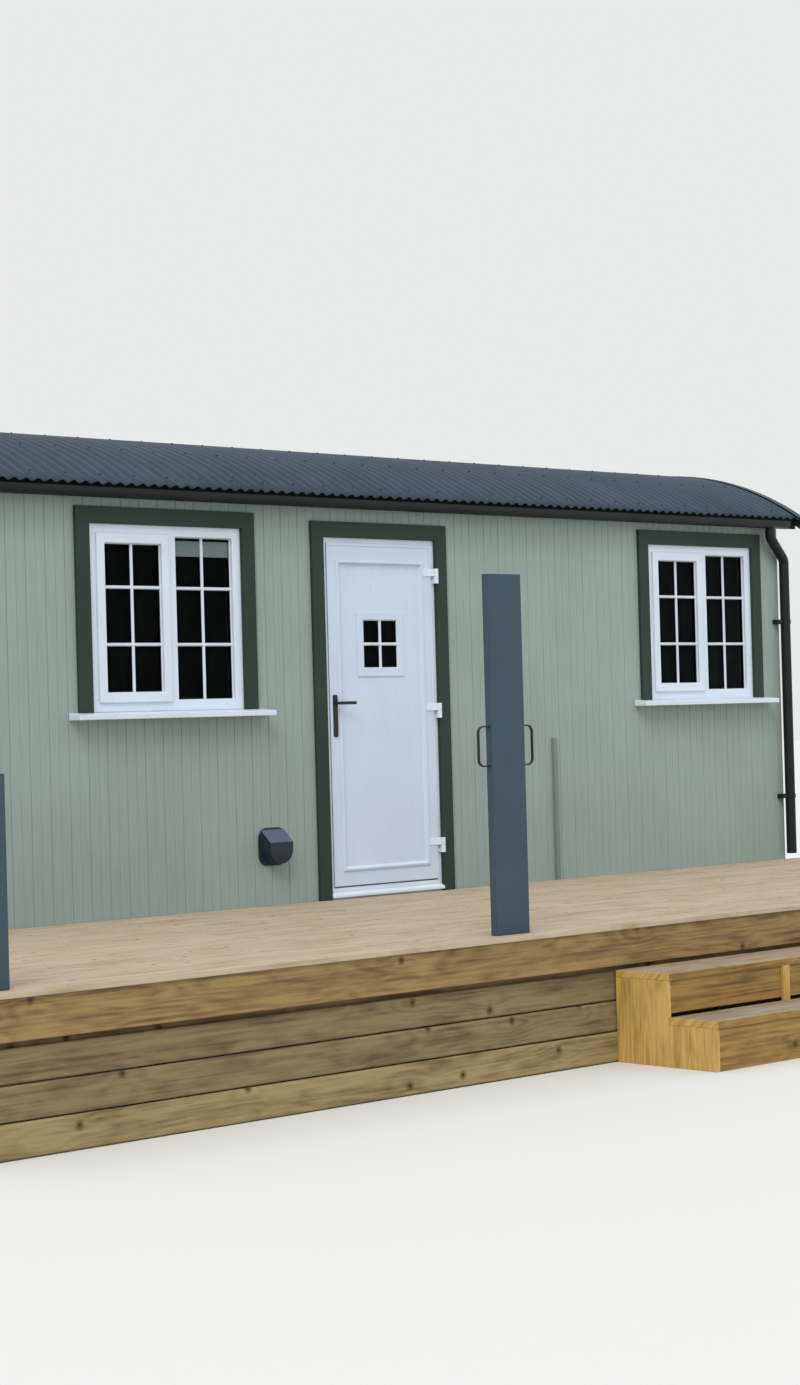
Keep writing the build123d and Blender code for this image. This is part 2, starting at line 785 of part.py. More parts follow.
# Crossmembers between the rails
crossmember_pitch = (rail_length - crossmember_width) / (crossmember_count - 1)
with BuildPart() as chassis_crossmembers:
    with BuildSketch(Plane.XY.offset(floor_bottom)):
        with GridLocations(crossmember_pitch, 1, crossmember_count, 1):
            Rectangle(crossmember_width, rail_spacing - rail_width)
    extrude(amount=-rail_height)
finish(chassis_crossmembers, "chassis_crossmembers")

# Axle beams, with stands up to the rails
with BuildPart() as axles:
    for side in (-1, 1):
        with BuildSketch(Plane.XZ.offset(wheel_track / 2 + hub_width / 2)):
            with Locations((side * axle_position, wheel_radius)):
                Circle(axle_radius)
        extrude(amount=-wheel_track - hub_width)
finish(axles, "axles")

with BuildPart() as axle_stands:
    for side in (-1, 1):
        for across in (-1, 1):
            stand_mid = across * rail_spacing / 2
            with BuildSketch(Plane.XZ.offset(-stand_mid - axle_bracket_thickness / 2)):
                with Locations((side * axle_position, (wheel_radius + rail_bottom) / 2)):
                    Rectangle(axle_bracket_width, rail_bottom - wheel_radius)
                with Locations((side * axle_position, wheel_radius)):
                    Circle(axle_radius + rim_thickness)
                    Circle(axle_radius + pin_clearance, mode=Mode.SUBTRACT)
            extrude(amount=axle_bracket_thickness)
finish(axle_stands, "axle_stands")

# Cast wheels: rim, hub and flat spokes
spoke_length = wheel_radius - rim_thickness - hub_radius
with BuildPart() as wheels:
    for side in (-1, 1):
        for across in (-1, 1):
            hub_plane = Plane((side * axle_position, across * wheel_track / 2, wheel_radius),
                              x_dir=(1, 0, 0), z_dir=(0, -1, 0))
            with BuildSketch(hub_plane):
                Circle(wheel_radius)
                Circle(wheel_radius - rim_thickness, mode=Mode.SUBTRACT)
            extrude(amount=wheel_width / 2, both=True)
            with BuildSketch(hub_plane):
                with PolarLocations((hub_radius + wheel_radius - rim_thickness) / 2, spoke_count):
                    Rectangle(spoke_length + rim_thickness, spoke_width)
            extrude(amount=spoke_thickness / 2, both=True)
            with BuildSketch(hub_plane):
                Circle(hub_radius)
            extrude(amount=hub_width / 2, both=True)
            with BuildSketch(hub_plane):
                Circle(axle_radius + pin_clearance)
            extrude(amount=hub_width, both=True, mode=Mode.SUBTRACT)
finish(wheels, "wheels")

# Deck boards along the front
deck_board_width = (deck_depth - (deck_board_count - 1) * deck_board_gap) / deck_board_count
deck_mid_y = (deck_back + deck_front) / 2
with BuildPart() as deck_boards:
    with BuildSketch(Plane.XY.offset(deck_underside)):
        with Locations((0, deck_mid_y)):
            with GridLocations(1, deck_board_width + deck_board_gap, 1, deck_board_count):
                Rectangle(deck_length, deck_board_width)
    extrude(amount=deck_board_thickness)
finish(deck_boards, "deck_boards")

# Fascia under the edge of the boards, on the front and both ends
fascia_front_y = deck_front + deck_overhang
fascia_end_x = deck_end - deck_overhang
fascia_inner_y = fascia_front_y + deck_fascia_thickness
fascia_inner_x = fascia_end_x - deck_fascia_thickness
with BuildPart() as deck_fascia:
    with BuildSketch(Plane.XY.offset(deck_underside)):
        with Locations((0, (fascia_front_y + deck_back) / 2)):
            Rectangle(2 * fascia_end_x, deck_back - fascia_front_y)
        with Locations((0, (fascia_inner_y + deck_back) / 2)):
            Rectangle(2 * fascia_inner_x, deck_back - fascia_inner_y, mode=Mode.SUBTRACT)
    extrude(amount=-deck_fascia_height)
finish(deck_fascia, "deck_fascia")

# Joists from the wall to the fascia
joist_pitch = (2 * fascia_inner_x - joist_width) / (joist_count - 1)
with BuildPart() as deck_joists:
    with BuildSketch(Plane.XY.offset(deck_underside)):
        with Locations((0, (fascia_inner_y + deck_back) / 2)):
            with GridLocations(joist_pitch, 1, joist_count, 1):
                Rectangle(joist_width, deck_back - fascia_inner_y)
    extrude(amount=-joist_height)
finish(deck_joists, "deck_joists")

# Skirt boards, set back under the fascia and thicker towards the ground
skirt_back_y = fascia_front_y + skirt_recess + skirt_thickness
skirt_back_x = fascia_end_x - skirt_recess - skirt_thickness
lowest_course = skirt_thickness + (skirt_count - 1) * skirt_step
bearer_top = deck_underside - joist_height
bearer_bottom = bearer_top - bearer_height
leg_front_y = skirt_back_y + leg_size / 2
leg_back_y = deck_back - leg_size / 2 - deck_wall_gap
leg_end_x = skirt_back_x - leg_size / 2
leg_pitch_x = 2 * leg_end_x / (leg_columns - 1)
leg_pitch_y = (leg_back_y - leg_front_y) / 2
with BuildPart() as deck_skirt:
    for course in range(skirt_count):
        course_bottom = skirt_ground_gap + course * (skirt_course + skirt_gap)
        course_thickness = lowest_course - course * skirt_step
        course_front_y = skirt_back_y - course_thickness
        with BuildSketch(Plane.XY.offset(course_bottom)):
            with Locations((0, (course_front_y + deck_back) / 2)):
                Rectangle(2 * (skirt_back_x + course_thickness), deck_back - course_front_y)
            with Locations((0, (skirt_back_y + deck_back) / 2)):
                Rectangle(2 * skirt_back_x, deck_back - skirt_back_y, mode=Mode.SUBTRACT)
        extrude(amount=skirt_course)
finish(deck_skirt, "deck_skirt")

# Bearers under the joists, and the legs that carry them
with BuildPart() as deck_bearers:
    with BuildSketch(Plane.XY.offset(bearer_top)):
        with Locations((0, (leg_front_y + leg_back_y) / 2)):
            with GridLocations(1, leg_pitch_y, 1, 3):
                Rectangle(2 * leg_end_x + leg_size, bearer_width)
    extrude(amount=-bearer_height)
finish(deck_bearers, "deck_bearers")

with BuildPart() as deck_legs:
    with BuildSketch(Plane.XY):
        with Locations((0, (leg_front_y + leg_back_y) / 2)):
            with GridLocations(leg_pitch_x, leg_pitch_y, leg_columns, 3):
                Rectangle(leg_size, leg_size)
    extrude(amount=bearer_bottom)
finish(deck_legs, "deck_legs")

# Steps: two boxes of boards, the upper one closed at its sides down to the ground
steps_right = steps_left + steps_width
steps_mid = (steps_left + steps_right) / 2
upper_back = skirt_back_y - lowest_course
with BuildPart() as step_sides:
    for inner in (steps_left, steps_right - step_panel_thickness):
        with BuildSketch(Plane.YZ.offset(inner)):
            with BuildLine():
                Polyline(
                    (upper_back, 0),
                    (upper_back, upper_tread_level - tread_thickness),
                    (upper_front, upper_tread_level - tread_thickness),
                    (upper_front, lower_tread_level - tread_thickness),
                    (lower_front, lower_tread_level - tread_thickness),
                    (lower_front, 0),
                    close=True,
                )
            make_face()
        extrude(amount=step_panel_thickness)
finish(step_sides, "step_sides")

with BuildPart() as step_treads:
    for top, back, nose in (
        (upper_tread_level, upper_back, upper_front - tread_nosing),
        (lower_tread_level, upper_front, lower_front - tread_nosing),
    ):
        with BuildSketch(Plane.XY.offset(top)):
            with Locations((steps_mid, (back + nose) / 2)):
                Rectangle(steps_width, back - nose)
        extrude(amount=-tread_thickness)
finish(step_treads, "step_treads")

riser_length = steps_width - 2 * step_panel_thickness
upper_riser_top = upper_tread_level - tread_thickness
upper_riser_bottom = lower_tread_level + step_riser_gap
with BuildPart() as step_risers:
    with BuildSketch(Plane.XZ.offset(-upper_front)):
        with Locations((steps_mid, (upper_riser_top + upper_riser_bottom) / 2)):
            Rectangle(riser_length, upper_riser_top - upper_riser_bottom)
    extrude(amount=-step_panel_thickness)
    with BuildSketch(Plane.XZ.offset(-lower_front)):
        with Locations((steps_mid, (lower_tread_level - tread_thickness) / 2)):
            Rectangle(riser_length, lower_tread_level - tread_thickness)
    extrude(amount=-step_panel_thickness)
finish(step_risers, "step_risers")

with BuildPart() as step_batten:
    with BuildSketch(Plane.XY.offset(lower_tread_level)):
        with Locations((steps_mid, upper_front - step_batten_thickness / 2)):
            Rectangle(step_batten_width, step_batten_thickness)
    extrude(amount=upper_riser_top - lower_tread_level)
finish(step_batten, "step_batten")

# Deck posts near the front edge
post_y = deck_front + post_edge_setback + post_depth / 2
end_post_x = -deck_end + end_post_inset + post_width / 2
with BuildPart() as tall_post:
    with BuildSketch(Plane.XY.offset(deck_level)):
        with Locations((tall_post_x, post_y)):
            Rectangle(post_width, post_depth)
    extrude(amount=tall_post_height)
finish(tall_post, "tall_post")

with BuildPart() as end_post:
    with BuildSketch(Plane.XY.offset(deck_level)):
        with Locations((end_post_x, post_y)):
            Rectangle(post_width, post_depth)
    extrude(amount=end_post_height)
finish(end_post, "end_post")

# Loops of bent flat bar on both sides of the tall post
hook_inner_reach = hook_reach - hook_thickness
with BuildPart() as post_loops:
    for side in (-1, 1):
        face_x = tall_post_x + side * post_width / 2
        with BuildSketch(Plane.XZ.offset(-post_y)):
            with Locations((face_x, deck_level + hook_level)):
                RectangleRounded(2 * hook_reach, hook_height, hook_bend)
                RectangleRounded(
                    2 * hook_inner_reach,
                    hook_height - 2 * hook_thickness,
                    hook_bend - hook_thickness,
                    mode=Mode.SUBTRACT,
                )
            with Locations((face_x - side * hook_reach, deck_level + hook_level)):
                Rectangle(2 * hook_reach, hook_height, mode=Mode.SUBTRACT)
        extrude(amount=hook_width / 2, both=True)
finish(post_loops, "post_loops")
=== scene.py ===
"""Looks of a shepherds hut with a raised deck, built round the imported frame.

Lengths are in metres, in the frame's own axes: X along the front to the right, Y to the back, Z up.
"""

import math
import random
from functools import cache, partial

import bmesh
import bpy
from mathutils import Matrix, Vector


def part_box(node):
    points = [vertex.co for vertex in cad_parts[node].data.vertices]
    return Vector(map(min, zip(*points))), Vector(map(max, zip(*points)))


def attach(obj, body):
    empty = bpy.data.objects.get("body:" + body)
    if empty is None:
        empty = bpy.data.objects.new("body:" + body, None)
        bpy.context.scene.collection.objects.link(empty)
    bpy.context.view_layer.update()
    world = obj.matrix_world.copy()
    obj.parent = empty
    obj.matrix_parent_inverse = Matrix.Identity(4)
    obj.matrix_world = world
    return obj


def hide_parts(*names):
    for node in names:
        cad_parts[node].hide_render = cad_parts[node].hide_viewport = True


bl_info = {
    "name": "Shepherds Hut",
    "version": (1, 0, 0),
    "blender": (4, 5, 0),
    "location": "View3D > Sidebar > Hut",
    "description": "Dresses the frame of a shepherds hut and its deck",
    "category": "Object",
}

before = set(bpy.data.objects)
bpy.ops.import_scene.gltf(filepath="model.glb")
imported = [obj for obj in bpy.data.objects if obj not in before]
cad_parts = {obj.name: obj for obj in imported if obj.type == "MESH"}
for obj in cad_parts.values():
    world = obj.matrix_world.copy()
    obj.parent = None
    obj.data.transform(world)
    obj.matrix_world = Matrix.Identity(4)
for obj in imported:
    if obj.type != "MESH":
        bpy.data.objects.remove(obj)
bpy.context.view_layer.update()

HUT = "hut"
DOOR = "front_door"
LEVER = "door_lever"
SEED = 7
WELD = 0.00002  # points nearer than this become one
COARSER = 4  # a skin or grain too fine to show in the render is drawn this many times as coarse
MIXED = {"out": 2, "data_type": "RGBA"}
MULTIPLIED = {**MIXED, "blend_type": "MULTIPLY"}
UPWARD = {"vector": (0.0, 0.0, 1.0)}

# Places of the hut read from the frame
wall_low, wall_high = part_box("front_wall_left")
back_low, back_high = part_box("back_wall")
roof_low, roof_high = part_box("roof_sheets")
leaf_low, leaf_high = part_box("door_leaf")
deck_low, deck_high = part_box("deck_boards")
FRONT, BACK = wall_low.y, back_high.y
MID_Y = (FRONT + BACK) / 2
LAP, WALL_TOP = wall_low.z, wall_high.z
ROOF_HALF = (roof_high.y - roof_low.y) / 2
SHEET_DEPTH = roof_high.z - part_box("verge_boards")[1].z


def linear(code):
    """Linear colour with alpha from an sRGB hex code."""
    parts = [int(code[i:i + 2], 16) / 255 for i in (1, 3, 5)]
    return tuple(p / 12.92 if p <= 0.04045 else ((p + 0.055) / 1.055) ** 2.4 for p in parts) + (1.0,)


def shaded(base, factor):
    """The colour made lighter or darker, at most white."""
    return tuple(min(1.0, c * factor) for c in base[:3]) + (1.0,)


def length(name, description, value):
    return bpy.props.FloatProperty(
        name=name, description=description, default=value, unit="LENGTH", precision=4)


def colour(name, description, code):
    return bpy.props.FloatVectorProperty(
        name=name, description=description, default=linear(code), size=4, subtype="COLOR", min=0.0, max=1.0)


class HutSizes(bpy.types.PropertyGroup):
    """Sizes of the details that dress the frame."""
    board_cover: length("Board cover", "Width that one wall board covers", 0.1265)
    board_joint: length("Board joint", "Width of the V joint between wall boards", 0.008)
    joint_depth: length("Joint depth", "Depth of the V joint between wall boards", 0.005)
    mid_joint: length("Middle groove", "Width of the groove along the middle of a wall board", 0.005)
    mid_depth: length("Middle groove depth", "Depth of the groove along the middle of a wall board", 0.0025)
    skin: length("Board skin", "Thickness of the wall that the grooved boards make up", 0.008)
    sheet_pitch: length("Corrugation pitch", "Distance between the crests of the roof sheets", 0.0762)
    sheet_gauge: length("Sheet gauge", "Drawn thickness of the roof sheets", 0.0012)
    bar_width: length("Glazing bar width", "Width of the white bars on the glass", 0.019)
    bar_proud: length("Glazing bar height", "How far a bar stands off the glass", 0.008)
    bead: length("Glazing bead", "Width of the bead that holds the glass", 0.005)
    gasket: length("Gasket", "Width of the dark gasket line round the glass", 0.003)
    panel_cover: length("Door board cover", "Distance between the grooves of the door panel", 0.0943)
    panel_width: length("Door panel width", "Width of the recessed panel of the door", 0.66)
    panel_bottom: length("Door panel bottom", "Height of the door panel's lower edge", 0.857)
    panel_top: length("Door panel top", "Height of the door panel's upper edge", 2.641)
    panel_recess: length("Door panel recess", "Depth of the door panel behind the leaf's face", 0.012)
    door_lip: length("Door lip", "How far the leaf's lip reaches over the gap round it", 0.0105)
    blind_height: length("Blind height", "Drop of the blind at the top of the left window", 0.086)
    screw_head: length("Deck screw head", "Radius of a deck screw head", 0.0045)
    roof_screw: length("Roof screw washer", "Radius of a roof screw's washer", 0.0075)


class HutColours(bpy.types.PropertyGroup):
    """Colours of the finishes."""
    wall: colour("Wall paint", "Sage green paint of the wall boards", "#91A19A")
    trim: colour("Trim paint", "Dark green paint of the surrounds", "#28382F")
    roof: colour("Roof coating", "Slate grey coating of the roof sheets", "#293A47")
    dark: colour("Dark trim", "Nearly black paint of fascias and verges", "#141B1C")
    plastic: colour("Window plastic", "White of the window and door frames", "#D3DEE9")
    door: colour("Door skin", "Cool white of the door leaf", "#C6D3E4")
    gutter: colour("Gutter plastic", "Black green of gutters and pipe", "#0D1716")
    deck: colour("Deck", "Pale weathered softwood of the deck", "#BFAB8F")
    deck_dark: colour("Deck grain", "Darker grain of the deck", "#9C8362")
    fascia: colour("Fascia", "Treated softwood of the deck fascia", "#A08450")
    fascia_dark: colour("Fascia grain", "Darker grain of the deck fascia", "#664B27")
    skirt: colour("Skirt", "Rough treated boards under the deck", "#9D8A5C")
    skirt_dark: colour("Skirt grain", "Darker grain of the skirt boards", "#5F4E2E")
    fresh: colour("Fresh timber", "New planed softwood of the step sides", "#D4AE60")
    fresh_dark: colour("Fresh grain", "Darker grain of the new softwood", "#A68039")
    post: colour("Post paint", "Anthracite paint of the deck posts", "#394955")
    floor_board: colour("Floor boards", "Oak tone of the inside floor", "#A98C66")
    floor_dark: colour("Floor grain", "Darker grain of the inside floor", "#7E6240")


def sizes():
    return bpy.context.scene.hut_sizes


# Nodes and materials


def add(tree, kind, *inputs, out=0, stops=(), **settings):
    """Add a node with its settings, and return one of its outputs, or all of them where out is None.

    A kind in capitals is an operation of the Math node. Inputs come in order or in one dict, each a value, a
    socket to link, or a list of sockets. Stops are places of a colour ramp, each with a grey level or a
    colour."""
    if kind.isupper():
        kind, settings["operation"] = "ShaderNodeMath", kind
    made = tree.nodes.new(kind)
    for name, value in settings.items():
        setattr(made, name, value)
    for element, (place, level) in zip(made.color_ramp.elements if stops else (), stops):
        element.position = place
        element.color = (level, level, level, 1.0) if isinstance(level, float) else level
    pairs = inputs[0].items() if inputs and isinstance(inputs[0], dict) else enumerate(inputs)
    for key, value in pairs:
        for item in value if isinstance(value, list) else [value]:
            if isinstance(item, bpy.types.NodeSocket):
                tree.links.new(item, made.inputs[key])
            else:
                made.inputs[key].default_value = item
    if out is None:
        return made.outputs
    return made.outputs[out] if made.outputs else made


def per_metre(mm):
    """The scale of a pattern from its real size in millimetres, to two figures."""
    return float(f"{1000 / mm:.2g}")


def surface(name, constants):
    """A new material, the function that adds its nodes, and its shader with constants on its own sockets."""
    material = bpy.data.materials.new(name)
    material.use_nodes = True
    principled = material.node_tree.nodes["Principled BSDF"]
    for key, value in constants.items():
        principled.inputs[key].default_value = value
    return material, partial(add, material.node_tree), principled


def wired(principled, height, distance, strength, base=None, roughness=None):
    """Link the bump, colour and roughness of a finish."""
    tree = principled.id_data
    bump = add(tree, "ShaderNodeBump", {"Height": height, "Strength": strength, "Distance": distance})
    for name, output in (("Normal", bump), ("Base Color", base), ("Roughness", roughness)):
        if output is not None:
            tree.links.new(output, principled.inputs[name])


def painted_timber(name, base, gloss, fade, along=(1.0, 1.0, 0.04), sheen=0.5):
    """Brushed satin paint on softwood: the grain still shows as fine ridges, and the tone drifts slightly."""
    material, node, principled = surface(name, {"Roughness": gloss, "Specular IOR Level": sheen})
    grain_mm = 2.5
    place = node("ShaderNodeTexCoord", out="Object")
    grain = node("ShaderNodeMapping", {"Vector": place, "Scale": along})
    grain = node("ShaderNodeTexNoise", {"Vector": grain, "Scale": 1000 / grain_mm / COARSER, "Detail": 5.0})
    drift = node("ShaderNodeTexNoise", {"Vector": place, "Scale": per_metre(600), "Detail": 3.0})
    tone = node("ShaderNodeValToRGB", drift,
                stops=((0.3, shaded(base, 1 - fade)), (0.7, shaded(base, 1 + fade))))
    fine = node("ShaderNodeValToRGB", grain, stops=((0.3, 0.9), (0.7, 1.0)))
    tone = node("ShaderNodeMix", {"Factor": 1.0, 6: tone, 7: fine}, **MULTIPLIED)
    rough = node("ShaderNodeValToRGB", grain, stops=((0.2, gloss - 0.08), (0.8, gloss + 0.1)))
    wired(principled, grain, 0.0006, 0.35, tone, rough)
    return material


def bare_timber(name, light, dark, rough=0.75, apart_mm=450, knot_mm=12.0, weathered=0.0, grey=None,
                sawn=0.4, spread=0.18):
    """Softwood boards: streaks and soft figure along the board, brown knots with a darker core, a tone of its
    own for each board, and pale weathered patches where it lies in the rain."""
    knots = per_metre(apart_mm)
    material, node, principled = surface(name, {"Roughness": rough})
    place = node("ShaderNodeAttribute", out="Vector", attribute_name="grain")
    along, y, z = node("ShaderNodeSeparateXYZ", place, out=None)
    flat = node("ShaderNodeCombineXYZ", along, node("ADD", y, z))
    knot = node("ShaderNodeTexVoronoi", {"Vector": flat, "Scale": knots}, voronoi_dimensions="2D")
    swirl = node("ShaderNodeValToRGB", knot, stops=((0.0, 1.0), (0.33, 0.0)))
    # Slow figure, fine streaks and drifting tone: millimetres along the board and across it
    layers = []
    for long_mm, wide_mm, detail, roughness in (
            (1820, 200, 2.0, 0.5), (625, 14.2, 5.0, 0.5), (420, 90, 6.0, 0.62)):
        stretch = (per_metre(long_mm), per_metre(wide_mm), 1.0)
        stretched = node("ShaderNodeMapping", {"Vector": flat, "Scale": stretch})
        layers.append(node("ShaderNodeTexNoise", {
            "Vector": stretched, "Scale": 1.0, "Detail": detail, "Roughness": roughness},
            noise_dimensions="2D"))
    slow, streak, drift = layers
    rings = node("PINGPONG", node("MULTIPLY_ADD", slow, 11.0, swirl), 0.5)
    rings = node("ShaderNodeValToRGB", rings, stops=((0.0, 0.0), (0.5, 1.0)))
    grain = node("ShaderNodeMix", {"Factor": 0.22, 2: streak, 3: rings})
    grain = node("ShaderNodeMix", {"Factor": 0.5, 2: grain, 3: drift})
    tone = node("ShaderNodeValToRGB", grain, stops=((0.33, dark), (0.6, light)))
    if weathered:
        patch = node("ShaderNodeValToRGB", drift, stops=((0.35, 0.3 * weathered), (0.65, weathered)))
        tone = node("ShaderNodeMix", {"Factor": patch, 6: tone, 7: grey}, **MIXED)
    # The knot's warm ring, then its core: shade, strength, and where it is full and where it ends
    core = knot_mm / 1000 * knots
    for shade, strength, full, end in ((0.55, 0.75, core, core * 2.4), (0.2, 0.9, core * 0.4, core * 0.9)):
        spot = node("ShaderNodeValToRGB", knot, stops=((full, strength), (end, 0.0)))
        tone = node("ShaderNodeMix", {"Factor": spot, 6: tone, 7: shaded(dark, shade)}, **MIXED)
    board = node("ShaderNodeAttribute", out="Fac", attribute_name="board")
    board = node("ShaderNodeValToRGB", board, stops=((0.0, 1.0 - spread), (1.0, 1.0)))
    tone = node("ShaderNodeMix", {"Factor": 1.0, 6: tone, 7: board}, **MULTIPLIED)
    fibre = (per_metre(111), per_metre(2.4), per_metre(2.4))
    fibre = node("ShaderNodeMapping", {"Vector": place, "Scale": fibre})
    fibre = node("ShaderNodeTexNoise", {"Vector": fibre, "Scale": 1.0, "Detail": 2.0})
    relief = node("ShaderNodeMix", {"Factor": 0.5, 2: streak, 3: fibre})
    wired(principled, relief, 0.0012, sawn, tone)
    return material


def moulded_plastic(name, base, gloss, texture_mm=1.2, relief=0.1, sheen=0.5):
    """Moulded or extruded plastic: even colour, a soft sheen and a faint skin texture."""
    material, node, principled = surface(
        name, {"Base Color": base, "Roughness": gloss, "Specular IOR Level": sheen})
    place = node("ShaderNodeTexCoord", out="Object")
    skin = node("ShaderNodeTexNoise", {"Vector": place, "Scale": 1000 / texture_mm / COARSER, "Detail": 2.0})
    haze = node("ShaderNodeTexNoise", {"Vector": place, "Scale": per_metre(430), "Detail": 3.0})
    tone = node("ShaderNodeValToRGB", haze, stops=((0.3, shaded(base, 0.95)), (0.7, shaded(base, 1.03))))
    rough = node("ShaderNodeValToRGB", haze, stops=((0.3, gloss - 0.06), (0.7, gloss + 0.1)))
    wired(principled, skin, 0.0002, relief, tone, rough)
    return material


def coated_steel(name, base, sheet, gloss=0.42):
    """Colour coated steel: low sheen, each sheet a shade apart, dust and rain streaks down the slope."""
    material, node, principled = surface(name, {"Roughness": gloss, "Specular IOR Level": 0.3})
    place = node("ShaderNodeTexCoord", out="Object")
    column = node("FLOOR", node("DIVIDE", node("ShaderNodeSeparateXYZ", place), sheet))
    shade = node("ShaderNodeTexWhiteNoise", {"W": column}, noise_dimensions="1D")
    shade = node("ShaderNodeValToRGB", shade, stops=((0.0, 0.9), (1.0, 1.0)))
    streaks = node("ShaderNodeMapping", {"Vector": place, "Scale": (1.0, 0.08, 0.2)})
    streaks = node("ShaderNodeTexNoise", {"Vector": streaks, "Scale": per_metre(38), "Detail": 5.0})
    cloud = node("ShaderNodeTexNoise", {"Vector": place, "Scale": per_metre(625), "Detail": 5.0})
    tone = node("ShaderNodeValToRGB", cloud, stops=((0.3, shaded(base, 0.85)), (0.7, shaded(base, 1.15))))
    tone = node("ShaderNodeMix", {"Factor": 1.0, 6: tone, 7: shade}, **MULTIPLIED)
    dust = node("ShaderNodeValToRGB", streaks, stops=((0.5, 0.0), (0.8, 0.12)))
    tone = node("ShaderNodeMix", {"Factor": dust, 6: tone, 7: linear("#7E868A")}, **MIXED)
    rough = node("ShaderNodeValToRGB", streaks, stops=((0.3, gloss), (0.8, gloss + 0.2)))
    grit = node("ShaderNodeTexNoise", {"Vector": place, "Scale": per_metre(2.85), "Detail": 2.0})
    wired(principled, grit, 0.0003, 0.15, tone, rough)
    return material


def metal(name, base, rough, metallic, relief=0.4):
    """Painted, cast or plated metal with a slightly uneven skin."""
    material, node, principled = surface(name, {"Base Color": base, "Metallic": metallic, "Roughness": rough})
    cast_mm = 3.0
    place = node("ShaderNodeTexCoord", out="Object")
    skin = node("ShaderNodeTexNoise", {"Vector": place, "Scale": 1000 / cast_mm / COARSER, "Detail": 4.0})
    tone = node("ShaderNodeValToRGB", skin, stops=((0.3, shaded(base, 0.85)), (0.7, shaded(base, 1.1))))
    rougher = node("ShaderNodeValToRGB", skin, stops=((0.3, rough - 0.08), (0.7, rough + 0.1)))
    wired(principled, skin, 0.0004, relief, tone, rougher)
    return material


def sealed_glass(name):
    """Sealed double glazing that reads nearly black, since it reflects dark trees and the room behind is
    unlit. Its IOR is low for glass, so that it stays dark before a pale studio."""
    material, node, principled = surface(name, {
        "Base Color": linear("#7E8C8E"), "Roughness": 0.02, "IOR": 1.085, "Transmission Weight": 1.0,
        "Specular IOR Level": 0.2})
    place = node("ShaderNodeTexCoord", out="Object")
    ripple = node("ShaderNodeTexNoise", {"Vector": place, "Scale": per_metre(330), "Detail": 1.0})
    wired(principled, ripple, 0.0006, 0.05)
    return material


